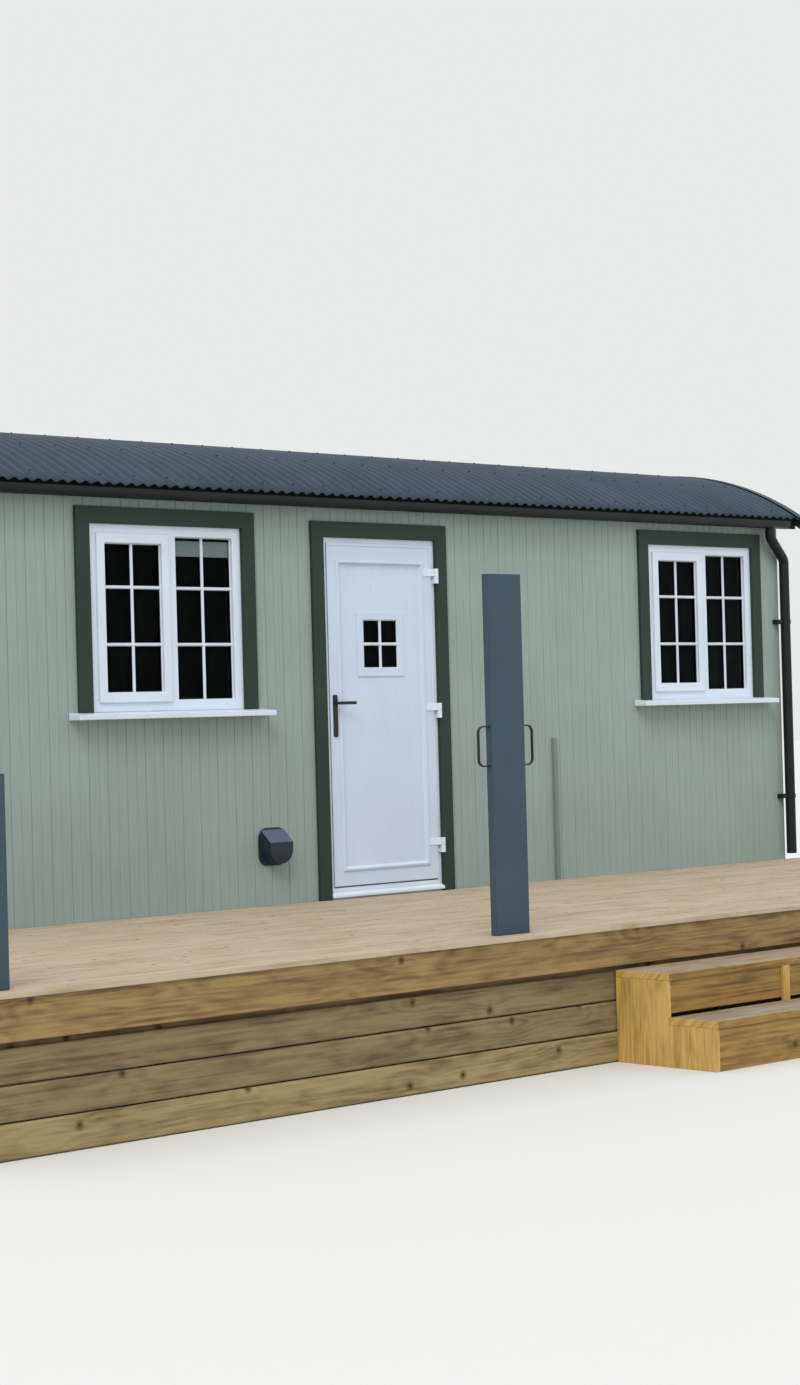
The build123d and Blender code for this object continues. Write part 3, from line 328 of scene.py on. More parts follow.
@cache
def finishes():
    """Every finish of the hut by its short name, made once by the first operator that needs one."""
    c = bpy.context.scene.hut_colours
    return {
        # Calm satin surface, with brush ridges along each board
        "wall": painted_timber("sage_paint_on_boards", c.wall, 0.55, 0.05),
        # Deep green with hardly any highlight, so that it frames the white plastic
        "trim": painted_timber("dark_green_paint_on_trim", c.trim, 0.6, 0.1, sheen=0.3),
        # Nearly black, its grain runs level
        "dark": painted_timber("black_paint_on_fascia", c.dark, 0.6, 0.1, (0.04, 1.0, 1.0), 0.3),
        # Blue grey with a dull sheen
        "post": painted_timber("anthracite_paint_on_post", c.post, 0.6, 0.12, sheen=0.35),
        # Plain pale room lining
        "lining": painted_timber("pale_paint_on_lining", linear("#D9D6CC"), 0.6, 0.04),
        # Slate sheets, one shade apart every 13 waves, dusty where the rain runs
        "roof": coated_steel("slate_coated_steel", c.roof, sizes().sheet_pitch * 13),
        # Clean cool white with the softest highlights on the hut
        "plastic": moulded_plastic("white_window_plastic", c.plastic, 0.28),
        # A shade duller than the frames, so that the leaf stands apart
        "door": moulded_plastic("white_door_skin", c.door, 0.35),
        # Matt cloth with a weave just too fine to count
        "blind": moulded_plastic("pale_blind_cloth", linear("#F4F6F6"), 0.9, 2.5, 0.4),
        # Black with a green cast and a dull shine along the round
        "gutter": moulded_plastic("black_gutter_plastic", c.gutter, 0.5, sheen=0.3),
        # Blue black hood with a slight shine
        "cowl": moulded_plastic("black_moulded_cowl", linear("#1A2733"), 0.45, relief=0.2, sheen=0.4),
        # The hood's upper side in a lighter blue grey: painted reflection of the sky
        "cowl_sky_reflection": moulded_plastic("painted_sky_reflection_on_hood", linear("#4E5A70"), 0.55, relief=0.2),
        # Thin strip, slightly darker than the boards
        "trunking": moulded_plastic("grey_green_trunking", linear("#727F7C"), 0.5),
        # Matt black line round the glass
        "rubber": moulded_plastic("black_gasket_rubber", linear("#15171A"), 0.7),
        # Dark mirror-smooth panes that still show the blind behind them
        "glass": sealed_glass("sealed_double_glazing"),
        # Bleached pale boards with small knots and little difference from one to the next
        "deck": bare_timber("weathered_deck_softwood", c.deck, c.deck_dark, 0.8, knot_mm=8.0, weathered=0.65,
                            grey=linear("#BBAD97"), sawn=0.2, spread=0.1),
        # Yellow brown board with clear figure and knots
        "fascia": bare_timber("treated_fascia_softwood", c.fascia, c.fascia_dark),
        # Rough olive brown boards, each of its own tone
        "skirt": bare_timber("rough_sawn_skirt_softwood", c.skirt, c.skirt_dark, 0.85, weathered=0.35,
                             grey=linear("#90835F"), sawn=0.7, spread=0.32),
        # Warm brown, darker than the fascia
        "riser": bare_timber("treated_riser_softwood", linear("#A68244"), linear("#66481F")),
        # Greyed where feet wear it
        "tread": bare_timber("worn_tread_softwood", linear("#A7967A"), linear("#7B694E"), 0.8, 500,
                             weathered=0.4, grey=linear("#A5957F"), spread=0.1),
        # Bright yellow and smooth
        "fresh": bare_timber("new_planed_softwood", c.fresh, c.fresh_dark, 0.6, sawn=0.2),
        # Honey brown with a worn polish
        "floor": bare_timber("oak_tone_floor_boards", c.floor_board, c.floor_dark, 0.45, sawn=0.1),
        # Even black with a powdery sheen
        "handle": metal("black_powder_coated_handle", linear("#0E1013"), 0.5, 0.0, 0.15),
        # Small dull silver glints
        "screw": metal("plated_screw_head", linear("#9A9A92"), 0.4, 1.0, 0.1),
        # Rough dark casting
        "iron": metal("black_cast_iron", linear("#2A2C2E"), 0.6, 0.6),
        # Plain black paint on rolled steel
        "chassis": metal("painted_chassis_steel", linear("#24272A"), 0.5, 0.2),
    }


# Meshes and pieces


def placed(name, data):
    """A new object in the scene."""
    obj = bpy.data.objects.new(name, data)
    bpy.context.scene.collection.objects.link(obj)
    return obj


def paint(mesh, material):
    """Give the whole mesh one finish."""
    mesh.materials.clear()
    mesh.materials.append(finishes()[material])


def piece(name, mesh, body, material=None, replaces=()):
    """A finished object at the origin that rides on a body."""
    obj = placed(name, mesh)
    if material:
        paint(mesh, material)
    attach(obj, body)
    if replaces:
        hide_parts(*replaces)
    return obj


def mesh_of(bm, name):
    mesh = bpy.data.meshes.new(name)
    bm.to_mesh(mesh)
    bm.free()
    return mesh


def prism(bm, corners, axis, start, end):
    """Add a closed prism: corners are pairs in the plane square to the axis, the other two axes in order."""
    near, far = ([bm.verts.new((*spot[:axis], level, *spot[axis:])) for spot in corners]
                 for level in (start, end))
    faces = [bm.faces.new(near), bm.faces.new(far)]
    for i, spot in enumerate(near):
        j = (i + 1) % len(near)
        faces.append(bm.faces.new((spot, near[j], far[j], far[i])))
    bmesh.ops.recalc_face_normals(bm, faces=faces)


def slab(bm, low, high, c=0.0, axis=0):
    """Add a box from low to high, its long edges along the axis chamfered by c."""
    a, b = [i for i in range(3) if i != axis]
    x0, x1, y0, y1 = low[a], high[a], low[b], high[b]
    if c:
        corners = [(x0 + c, y0), (x1 - c, y0), (x1, y0 + c), (x1, y1 - c),
                   (x1 - c, y1), (x0 + c, y1), (x0, y1 - c), (x0, y0 + c)]
    else:
        corners = [(x0, y0), (x1, y0), (x1, y1), (x0, y1)]
    prism(bm, corners, axis, low[axis], high[axis])


def mitred(bm, centre, width, height, profile, face_y, outward=-1.0):
    """Add a mitred rectangle round centre (x, z): profile pairs are the distance out from the inner edge and
    the distance out from the face."""
    x, z = centre
    rings = []
    for out, proud in profile:
        half_w, half_h = width / 2 + out, height / 2 + out
        rings.append([bm.verts.new((x + sx * half_w, face_y + outward * proud, z + sz * half_h))
                      for sx, sz in ((-1, -1), (1, -1), (1, 1), (-1, 1))])
    faces = []
    for ring, following in zip(rings, rings[1:] + rings[:1]):
        for k in range(4):
            m = (k + 1) % 4
            faces.append(bm.faces.new((ring[k], ring[m], following[m], following[k])))
    bmesh.ops.recalc_face_normals(bm, faces=faces)


def grain_of(mesh, along, seed=0, pale_below=None):
    """Store each board's own coordinates, grain first, and a random shade for each loose board.

    along is X, Y or Z, or round where boards turn a corner and each face follows its own wall. A board that
    lies below pale_below gets the palest shade, and the others are darker."""
    bm = bmesh.new()
    bm.from_mesh(mesh)
    vector = bm.loops.layers.float_vector.new("grain")
    shade = bm.loops.layers.float.new("board")
    draw = random.Random(SEED + seed)
    seen = set()
    for first in bm.faces:
        if first in seen:
            continue
        seen.add(first)
        stack, island = [first], []
        while stack:
            island.append(stack.pop())
            for other in (face for edge in island[-1].edges for face in edge.link_faces):
                if other not in seen:
                    seen.add(other)
                    stack.append(other)
        shift = Vector((draw.uniform(-9, 9), draw.uniform(-9, 9), draw.uniform(-9, 9)))
        tone = draw.random()
        if pale_below is not None:
            top = max(vert.co.z for face in island for vert in face.verts)
            tone = 1.0 if top < pale_below else 0.6 * tone
        for face in island:
            axis = along
            if along == "round":
                axis = "Y" if abs(face.normal.x) > 0.7 else "X"
            for loop in face.loops:
                x, y, z = loop.vert.co
                order = {"X": (x, y, z), "Y": (y, x, z), "Z": (z, x, y)}[axis]
                loop[vector] = Vector(order) + shift
                loop[shade] = tone
    bm.to_mesh(mesh)
    bm.free()


def joined_copy(node, pushes=()):
    """The node's mesh with its triangles merged and flat faces joined; pushes move flat faces that lie at
    (axis, place) by an amount."""
    bm = bmesh.new()
    bm.from_mesh(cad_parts[node].data)
    bmesh.ops.remove_doubles(bm, verts=bm.verts, dist=1e-5)
    for axis, place, amount in pushes:
        for vert in bm.verts:
            if abs(vert.co[axis] - place) < 1e-4:
                vert.co[axis] += amount
    bmesh.ops.dissolve_limit(bm, angle_limit=math.radians(0.5), verts=bm.verts, edges=bm.edges)
    return mesh_of(bm, node)


def softened(node, body, material, bevel=0.0, smooth=False, grain=None, pale_below=None):
    """A piece in place of a node: the same shape with eased edges, or with smooth shading on its round
    faces."""
    mesh = joined_copy(node)
    if grain:
        grain_of(mesh, grain, len(node), pale_below)
    obj = piece(node + "_finish", mesh, body, material, (node,))
    if bevel:
        edge = obj.modifiers.new("eased_edges", "BEVEL")
        edge.width = bevel
        edge.segments = 2
        edge.limit_method = "ANGLE"
        edge.angle_limit = math.radians(40)
    if smooth:
        mesh.shade_smooth()
        mesh.set_sharp_from_angle(angle=math.radians(35))
    return obj


def face_finish(obj, material, chosen):
    """Another finish on the faces that a test picks by their normal."""
    obj.data.materials.append(finishes()[material])
    for face in obj.data.polygons:
        if chosen(face.normal):
            face.material_index = len(obj.data.materials) - 1


def long_edge(normal):
    return abs(normal.z) < 0.5 and abs(normal.x) <= 0.7


def board_end(normal):
    return abs(normal.z) < 0.5 and abs(normal.x) > 0.7


# Geometry node trees


def new_tree(name, floats, ints=()):
    """A geometry tree, the function that adds its nodes, and its inputs: a geometry, then the numbers."""
    tree = bpy.data.node_groups.new(name, "GeometryNodeTree")
    kinds = [("Geometry", "Geometry"), *((label, "Float") for label in floats),
             *((label, "Int") for label in ints), ("Material", "Material")]
    for label, kind in kinds:
        tree.interface.new_socket(label, in_out="INPUT", socket_type="NodeSocket" + kind)
    tree.interface.new_socket("Geometry", in_out="OUTPUT", socket_type="NodeSocketGeometry")
    entry = add(tree, "NodeGroupInput", out=None)
    return tree, partial(add, tree), list(entry)[:len(kinds) - 1]


def end_tree(tree, geometry):
    """Realize the instances, set the material and return the closed tree."""
    real = add(tree, "GeometryNodeRealizeInstances", geometry)
    material = tree.nodes["Group Input"].outputs["Material"]
    add(tree, "NodeGroupOutput", add(tree, "GeometryNodeSetMaterial", {0: real, "Material": material}))
    return tree


def welded(node, *sheets):
    """Sheets that share their edges, as one closed shell."""
    return node("GeometryNodeMergeByDistance", {
        0: node("GeometryNodeJoinGeometry", list(sheets)), "Distance": WELD})


def grown(tree, values, matrix=Matrix(), start=None):
    """The plain mesh that a tree makes with these input values, moved by the matrix."""
    mesh = start or bpy.data.meshes.new(tree.name)
    obj = placed(tree.name, mesh)
    modifier = obj.modifiers.new(tree.name, "NODES")
    modifier.node_group = tree
    for item in tree.interface.items_tree:
        if item.in_out == "INPUT" and item.name in values:
            modifier[item.identifier] = values[item.name]
    graph = bpy.context.evaluated_depsgraph_get()
    made = bpy.data.meshes.new_from_object(obj.evaluated_get(graph))
    obj.modifiers.remove(modifier)
    bpy.data.objects.remove(obj)
    made.transform(matrix)
    return made


def merged(meshes, name):
    """Several meshes in one, with faces turned outwards."""
    bm = bmesh.new()
    for mesh in meshes:
        bm.from_mesh(mesh)
    bmesh.ops.recalc_face_normals(bm, faces=bm.faces)
    made = mesh_of(bm, name)
    for material in meshes[0].materials:
        made.materials.append(material)
    return made


def board_tree():
    """Upright boards with V joints and a groove along the middle of each, from Start to End, the tops cut
    level or to an arc."""
    tree, node, numbers = new_tree("upright_boards", (
        "Start", "End", "Bottom", "Top", "Cover", "Joint", "Joint Depth", "Middle", "Middle Depth",
        "Thickness", "Arc Radius", "Arc Centre"))
    (start, end, bottom, top, cover, joint, joint_depth, middle, middle_depth, thickness, radius,
     centre) = numbers[1:]
    # Six points for each board: the joint's bottom and edge, then the middle groove, then the far edge
    first = node("FLOOR", node("DIVIDE", start, cover))
    last = node("CEIL", node("DIVIDE", end, cover))
    count = node("MULTIPLY_ADD", node("SUBTRACT", last, first), 6.0, 1.0)
    line = node("GeometryNodeMeshLine", {"Count": count, "Offset": (0.0, 0.0, 0.0)})
    index = node("GeometryNodeInputIndex")
    step = node("MODULO", index, 6.0)
    board = node("FLOOR", node("DIVIDE", index, 6.0))
    half_joint, half_cover, half_middle = (node("MULTIPLY", size, 0.5) for size in (joint, cover, middle))
    across, depth = (node("GeometryNodeIndexSwitch", step, data_type="FLOAT").node for _ in range(2))
    for switch in (across, depth):
        while len(switch.index_switch_items) < 6:
            switch.index_switch_items.new()
    places = (half_joint, node("SUBTRACT", half_cover, half_middle), half_cover,
              node("ADD", half_cover, half_middle), node("SUBTRACT", cover, half_joint))
    for number, value in enumerate(places):
        tree.links.new(value, across.inputs[number + 2])
    tree.links.new(joint_depth, depth.inputs[1])
    tree.links.new(middle_depth, depth.inputs[4])
    x = node("MULTIPLY_ADD", node("ADD", board, first), cover, across.outputs[0])
    inside = node("MULTIPLY", node("GREATER_THAN", x, start), node("LESS_THAN", x, end))
    y = node("SUBTRACT", node("MULTIPLY", depth.outputs[0], inside), thickness)
    x = node("MINIMUM", node("MAXIMUM", x, start), end)
    line = node("GeometryNodeSetPosition", {0: line, "Position": node("ShaderNodeCombineXYZ", x, y, bottom)})
    sheet = node("GeometryNodeExtrudeMesh", {
        "Mesh": line, "Offset": node("FunctionNodeInputVector", **UPWARD),
        "Offset Scale": node("SUBTRACT", top, bottom)}, mode="EDGES")
    x, y, z = node("ShaderNodeSeparateXYZ", node("GeometryNodeInputPosition"), out=None)
    arc = node("SQRT", node("SUBTRACT", node("MULTIPLY", radius, radius), node("MULTIPLY", x, x)))
    arched = node("ShaderNodeCombineXYZ", x, y, node("ADD", arc, centre))
    high = node("GREATER_THAN", z, node("ADD", bottom, 0.001))
    chosen = node("MULTIPLY", high, node("GREATER_THAN", radius, 0.001))
    sheet = node("GeometryNodeSetPosition", {0: sheet, "Selection": chosen, "Position": arched})
    walls, far, _ = node("GeometryNodeExtrudeMesh", {
        "Mesh": sheet, "Individual": False, "Offset Scale": 0.0}, out=None)
    back = node("GeometryNodeSetPosition", {
        0: walls, "Selection": far, "Position": node("ShaderNodeCombineXYZ", x, 0.0, z)})
    return end_tree(tree, node("GeometryNodeSetShadeSmooth", {
        0: welded(node, back, sheet), "Shade Smooth": False}))


def corrugated_tree():
    """Corrugated sheets bent over a barrel roof: waves along X, the crests on the outer radius."""
    tree, node, (_, length_x, pitch, depth, gauge, radius, centre, half_span, along, around) = new_tree(
        "bent_corrugated_sheets",
        ("Length", "Pitch", "Depth", "Gauge", "Radius", "Centre", "Half Span"), ("Along", "Around"))
    grid = node("GeometryNodeMeshGrid", {
        "Size X": length_x, "Size Y": 2.0, "Vertices X": along, "Vertices Y": around})
    x, y, _ = node("ShaderNodeSeparateXYZ", node("GeometryNodeInputPosition"), out=None)
    angle = node("MULTIPLY", y, node("ARCSINE", node("DIVIDE", half_span, radius)))
    wave = node("COSINE", node("MULTIPLY", node("DIVIDE", x, pitch), 2 * math.pi))
    reach = node("MULTIPLY_ADD", node("SUBTRACT", wave, 1.0), node("MULTIPLY", depth, 0.5), radius)
    y = node("MULTIPLY", reach, node("SINE", angle))
    z = node("MULTIPLY_ADD", reach, node("COSINE", angle), centre)
    sheet = node("GeometryNodeSetPosition", {0: grid, "Position": node("ShaderNodeCombineXYZ", x, y, z)})
    inner = node("GeometryNodeExtrudeMesh", {
        "Mesh": sheet, "Individual": False, "Offset Scale": node("MULTIPLY", gauge, -1.0)})
    return end_tree(tree, node("GeometryNodeSetShadeSmooth", welded(node, inner, sheet)))


def deck_tree():
    """Rows of deck boards with rounded edges, butted end to end at places that alternate row by row."""
    tree, node, numbers = new_tree("butted_deck_boards", (
        "Left", "Right", "First Row", "Pitch", "Width", "Thickness", "Level", "Joint A", "Joint B", "Gap",
        "Edge"), ("Rows",))
    left, right, first_row, pitch, width, thickness, level, joint_a, joint_b, gap, edge, rows = numbers[1:]
    # Two points in each row, at the left ends of its boards
    count = node("MULTIPLY", rows, 2.0)
    points = node("GeometryNodeMeshLine", {"Count": count, "Offset": (0.0, 0.0, 0.0)})
    index = node("GeometryNodeInputIndex")
    row = node("FLOOR", node("DIVIDE", index, 2.0))
    side = node("MODULO", index, 2.0)
    joint = node("ShaderNodeMix", {0: node("MODULO", row, 2.0), 2: joint_a, 3: joint_b})
    half_gap = node("MULTIPLY", gap, 0.5)
    start = node("ShaderNodeMix", {0: side, 2: left, 3: node("ADD", joint, half_gap)})
    end = node("ShaderNodeMix", {0: side, 2: node("SUBTRACT", joint, half_gap), 3: right})
    y = node("MULTIPLY_ADD", row, pitch, first_row)
    z = node("SUBTRACT", level, node("MULTIPLY", thickness, 0.5))
    points = node("GeometryNodeSetPosition", {
        0: points, "Position": node("ShaderNodeCombineXYZ", start, y, z)})
    # One board a metre long, stretched to each board's length
    outline = node("GeometryNodeCurvePrimitiveQuadrilateral", {"Width": width, "Height": thickness})
    outline = node("GeometryNodeFilletCurve", {0: outline, "Radius": edge, "Count": 2}, mode="POLY")
    face = node("GeometryNodeFillCurve", outline)
    long_board = node("GeometryNodeExtrudeMesh", {
        "Mesh": face, "Offset": node("FunctionNodeInputVector", **UPWARD), "Offset Scale": 1.0,
        "Individual": False})
    place = node("GeometryNodeInputPosition")
    x, y, z = node("ShaderNodeSeparateXYZ", place, out=None)
    board = node("GeometryNodeSetPosition", {
        0: welded(node, long_board, face), "Position": node("ShaderNodeCombineXYZ", z, x, y)})
    scale = node("ShaderNodeCombineXYZ", node("SUBTRACT", end, start), 1.0, 1.0)
    laid = node("GeometryNodeInstanceOnPoints", {0: points, "Instance": board, "Scale": scale})
    shade = node("FunctionNodeRandomValue", {"ID": index, "Seed": SEED}, out=1, data_type="FLOAT")
    laid = node("GeometryNodeStoreNamedAttribute", {0: laid, "Name": "board", "Value": shade},
                domain="INSTANCE", data_type="FLOAT")
    laid = node("GeometryNodeRealizeInstances", laid)
    tone = node("GeometryNodeInputNamedAttribute", {"Name": "board"}, data_type="FLOAT")
    moved = node("ShaderNodeVectorMath", place, (1.0, 1.0, 1.0), operation="MULTIPLY")
    moved = node("ShaderNodeVectorMath", moved, node("MULTIPLY", tone, 37.0), operation="ADD")
    return end_tree(tree, node("GeometryNodeStoreNamedAttribute", {0: laid, "Name": "grain", "Value": moved},
                               domain="POINT", data_type="FLOAT_VECTOR"))


def fixing_tree():
    """A low head on a washer at each point of the start mesh, square to the point's facing."""
    tree, node, (points, head, head_height, washer, washer_height, head_sides, washer_sides) = new_tree(
        "fixings", ("Head Radius", "Head Height", "Washer Radius", "Washer Height"),
        ("Head Sides", "Washer Sides"))
    discs = []
    for sides, radius, height, base in ((head_sides, head, head_height, washer_height),
                                        (washer_sides, washer, washer_height, 0.0)):
        disc = node("GeometryNodeMeshCylinder", {"Vertices": sides, "Radius": radius, "Depth": height})
        lift = node("ShaderNodeCombineXYZ", {"Z": node("MULTIPLY_ADD", height, 0.5, base)})
        discs.append(node("GeometryNodeTransform", {0: disc, "Translation": lift}))
    facing = node("GeometryNodeInputNamedAttribute", {"Name": "facing"}, data_type="FLOAT_VECTOR")
    turn = node("FunctionNodeAlignRotationToVector", {"Vector": facing}, axis="Z")
    return end_tree(tree, node("GeometryNodeInstanceOnPoints", {
        0: points, "Instance": node("GeometryNodeJoinGeometry", discs), "Rotation": turn}))


def fixings(name, material, spots, head, washer):
    """One piece of like fixings at spots of place and facing, head and washer as radius, height and sides."""
    start = bpy.data.meshes.new(name)
    start.from_pydata([spot for spot, _ in spots], [], [])
    facing = start.attributes.new("facing", "FLOAT_VECTOR", "POINT")
    for item, (_, direction) in zip(facing.data, spots):
        item.vector = direction
    values = {"Material": finishes()[material]}
    for part, numbers in (("Head", head), ("Washer", washer)):
        values.update(zip((part + " Radius", part + " Height", part + " Sides"), numbers))
    piece(name, grown(fixing_tree(), values, start=start), HUT)


# Walls, roof and openings


def board_values(start, end, bottom, top, arc_radius=0.0, arc_centre=0.0):
    s = sizes()
    return {
        "Start": start, "End": end, "Bottom": bottom, "Top": top, "Cover": s.board_cover,
        "Joint": s.board_joint, "Joint Depth": s.joint_depth, "Middle": s.mid_joint,
        "Middle Depth": s.mid_depth, "Thickness": s.skin, "Arc Radius": arc_radius, "Arc Centre": arc_centre,
        "Material": finishes()["wall"]}


def roof_circle():
    """Outer radius of the roof sheets and the height of their centre, from the sheets' box."""
    rise = roof_high.z - roof_low.z
    radius = 2.45  # a first guess, brought closer in each round
    for _ in range(60):
        inner = radius - SHEET_DEPTH
        drop = radius - math.sqrt(inner * inner - ROOF_HALF * ROOF_HALF)
        radius += (drop - rise) * 4
    return radius, roof_high.z - radius


def clad(node, meshes, *pushes):
    """Grooved boards in place of a wall, and the wall's own core set back behind them as its lining."""
    piece(node + "_boards", merged(meshes, node), HUT, replaces=(node,))
    piece(node + "_lining", joined_copy(node, pushes), HUT, "lining")


class HUT_OT_wall_boards(bpy.types.Operator):
    """Grooved upright boards on all four walls, over a plain lining"""
    bl_idname = "hut.wall_boards"
    bl_label = "Wall boards"

    def execute(self, context):
        tree = board_tree()
        skin = sizes().skin
        front = Matrix.Translation((0, FRONT + skin, 0))
        for side in ("left", "right"):
            node = "front_wall_" + side
            low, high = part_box(node)
            hole_low, hole_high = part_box(side + "_window_frame")
            zones = [(low.x, hole_low.x, LAP, WALL_TOP), (hole_low.x, hole_high.x, LAP, hole_low.z),
                     (hole_low.x, hole_high.x, hole_high.z, WALL_TOP), (hole_high.x, high.x, LAP, WALL_TOP)]
            corner, inward = (low.x, skin) if side == "left" else (high.x, -skin)
            clad(node, [grown(tree, board_values(*zone), front) for zone in zones],
                 (1, FRONT, skin), (0, corner, inward))
        low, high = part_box("front_wall_over_door")
        over = grown(tree, board_values(low.x, high.x, low.z, high.z), front)
        clad("front_wall_over_door", [over], (1, FRONT, skin))
        turned = Matrix.Translation((0, BACK - skin, 0)) @ Matrix.Rotation(math.pi, 4, "Z")
        long = grown(tree, board_values(back_low.x, back_high.x, LAP, WALL_TOP), turned)
        clad("back_wall", [long], (1, BACK, -skin), (0, back_low.x, skin), (0, back_high.x, -skin))
        half = (BACK - FRONT) / 2 - skin
        proud = 0.0005  # keeps the end boards clear of the front and back ones
        _, centre = roof_circle()
        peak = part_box("right_end_wall")[1].z
        for node, side in (("left_end_wall", -1), ("right_end_wall", 1)):
            low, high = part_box(node)
            face = high.x if side > 0 else low.x
            turned = (Matrix.Translation((face - side * (skin - proud), MID_Y, 0))
                      @ Matrix.Rotation(side * math.pi / 2, 4, "Z"))
            clad(node, [grown(tree, board_values(-half, half, LAP, peak, peak - centre, centre), turned)],
                 (0, face, -side * skin))
        return {"FINISHED"}


class HUT_OT_roof(bpy.types.Operator):
    """Corrugated sheets with their screws, verge trims, fascias and the lined panel"""
    bl_idname = "hut.roof"
    bl_label = "Roof"

    def execute(self, context):
        s = sizes()
        radius, centre = roof_circle()
        long = roof_high.x - roof_low.x
        clearance = 0.0006  # between the sheets' troughs and the boards under them
        points_per_wave, points_around = 8, 37
        made = grown(corrugated_tree(), {
            "Length": long, "Pitch": s.sheet_pitch, "Depth": SHEET_DEPTH - s.sheet_gauge - clearance,
            "Gauge": s.sheet_gauge, "Radius": radius, "Centre": centre, "Half Span": ROOF_HALF,
            "Along": round(long / s.sheet_pitch) * points_per_wave + 1, "Around": points_around,
            "Material": finishes()["roof"]}, Matrix.Translation((0, MID_Y, 0)))
        piece("roof_sheets_corrugated", merged([made], "roof"), HUT, replaces=("roof_sheets",))
        last_crest, crests_apart = 51, 3
        spots = []
        for row in (-1.24, -0.83, -0.42, 0.0, 0.42, 0.83, 1.24):
            angle = math.asin(row / radius)
            facing = Vector((0, math.sin(angle), math.cos(angle)))
            for crest in range(-last_crest, last_crest + 1, crests_apart):
                spots.append((Vector((crest * s.sheet_pitch, MID_Y, centre)) + facing * radius, facing))
        fixings("roof_screws", "roof", spots, (0.004, 0.003, 6), (s.roof_screw, 0.0015, 12))
        softened("verge_trims", HUT, "roof", smooth=True)
        softened("verge_boards", HUT, "dark", smooth=True)
        softened("eave_fascias", HUT, "dark", 0.002)
        softened("roof_panel", HUT, "lining", smooth=True)
        return {"FINISHED"}


class HUT_OT_rainwater(bpy.types.Operator):
    """Gutters, downpipe and clips"""
    bl_idname = "hut.rainwater"
    bl_label = "Rainwater goods"

    def execute(self, context):
        for node in ("front_gutter", "gutter_outlet", "back_gutter", "downpipe", "downpipe_clips"):
            softened(node, HUT, "gutter", smooth=True)
        return {"FINISHED"}


def glazing(low, high, levels, bars, beads, gaskets=None):
    """Add bars, beads and gaskets on both faces of a pane from low to high: level bars at these heights and
    an upright one in the middle."""
    s = sizes()
    half, slope = s.bar_width / 2, s.bar_proud * 0.6
    x, z = (low.x + high.x) / 2, (low.z + high.z) / 2
    width, height = high.x - low.x, high.z - low.z
    for face, outward in ((low.y, -1.0), (high.y, 1.0)):
        outer = face + outward * s.bar_proud
        for level in levels:
            prism(bars, [(face, level - half), (outer, level - half + slope), (outer, level + half - slope),
                         (face, level + half)], 0, x - width / 2, x + width / 2)
        outer = face + outward * s.bar_proud * 0.97  # lower, so that crossing bars don't share a face
        prism(bars, [(x - half, face), (x - half + slope, outer), (x + half - slope, outer),
                     (x + half, face)], 2, z - height / 2, z + height / 2)
        width_in, height_in = width - 2 * s.bead, height - 2 * s.bead
        mitred(beads, (x, z), width_in, height_in,
               [(0.0, 0.0), (0.002, 0.005), (s.bead, 0.009), (s.bead, 0.0)], face, outward)
        if gaskets:
            mitred(gaskets, (x, z), width_in - 2 * s.gasket, height_in - 2 * s.gasket,
                   [(0.0, 0.0), (0.0, 0.0015), (s.gasket, 0.0015), (s.gasket, 0.0)], face, outward)


class HUT_OT_windows(bpy.types.Operator):
    """Frames, casements, glazing bars, beads, panes, sills and surrounds of both windows"""
    bl_idname = "hut.windows"
    bl_label = "Windows"

    def execute(self, context):
        s = sizes()
        bar_levels = (2.478, 2.166)
        clear_of_sash, blind_gap, blind_depth, blind_thickness = 0.02, 0.02, 0.004, 0.002
        for side in ("left", "right"):
            window = side + "_window_"
            sash_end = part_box(window + "sash")[1].x
            panes = {}  # the points of the casement's pane, then of the fixed one
            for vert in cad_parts[window + "panes"].data.vertices:
                panes.setdefault(vert.co.x > sash_end + clear_of_sash, []).append(vert.co)
            bars, beads, gaskets = (bmesh.new() for _ in range(3))
            for fixed, points in panes.items():
                low, high = (Vector([end(p[i] for p in points) for i in range(3)]) for end in (min, max))
                if fixed and side == "left":
                    blind = bmesh.new()
                    top = high.z - blind_gap
                    slab(blind, (low.x + s.bead, low.y + blind_depth, top - s.blind_height),
                         (high.x - s.bead, low.y + blind_depth + blind_thickness, top))
                    piece("left_window_blind", mesh_of(blind, "blind"), HUT, "blind")
                glazing(low, high, bar_levels, bars, beads, gaskets)
            piece(side + "_glazing_bars", mesh_of(bars, "bars"), HUT, "plastic")
            piece(side + "_glazing_beads", mesh_of(beads, "beads"), HUT, "plastic")
            piece(side + "_glazing_gaskets", mesh_of(gaskets, "gaskets"), HUT, "rubber")
            softened(window + "frame", HUT, "plastic", 0.003)
            softened(window + "sash", HUT, "plastic", 0.004)
            softened(window + "sill", HUT, "plastic", 0.004)
            softened(window + "surround", HUT, "trim", 0.0025)
            paint(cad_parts[window + "panes"].data, "glass")
        return {"FINISHED"}


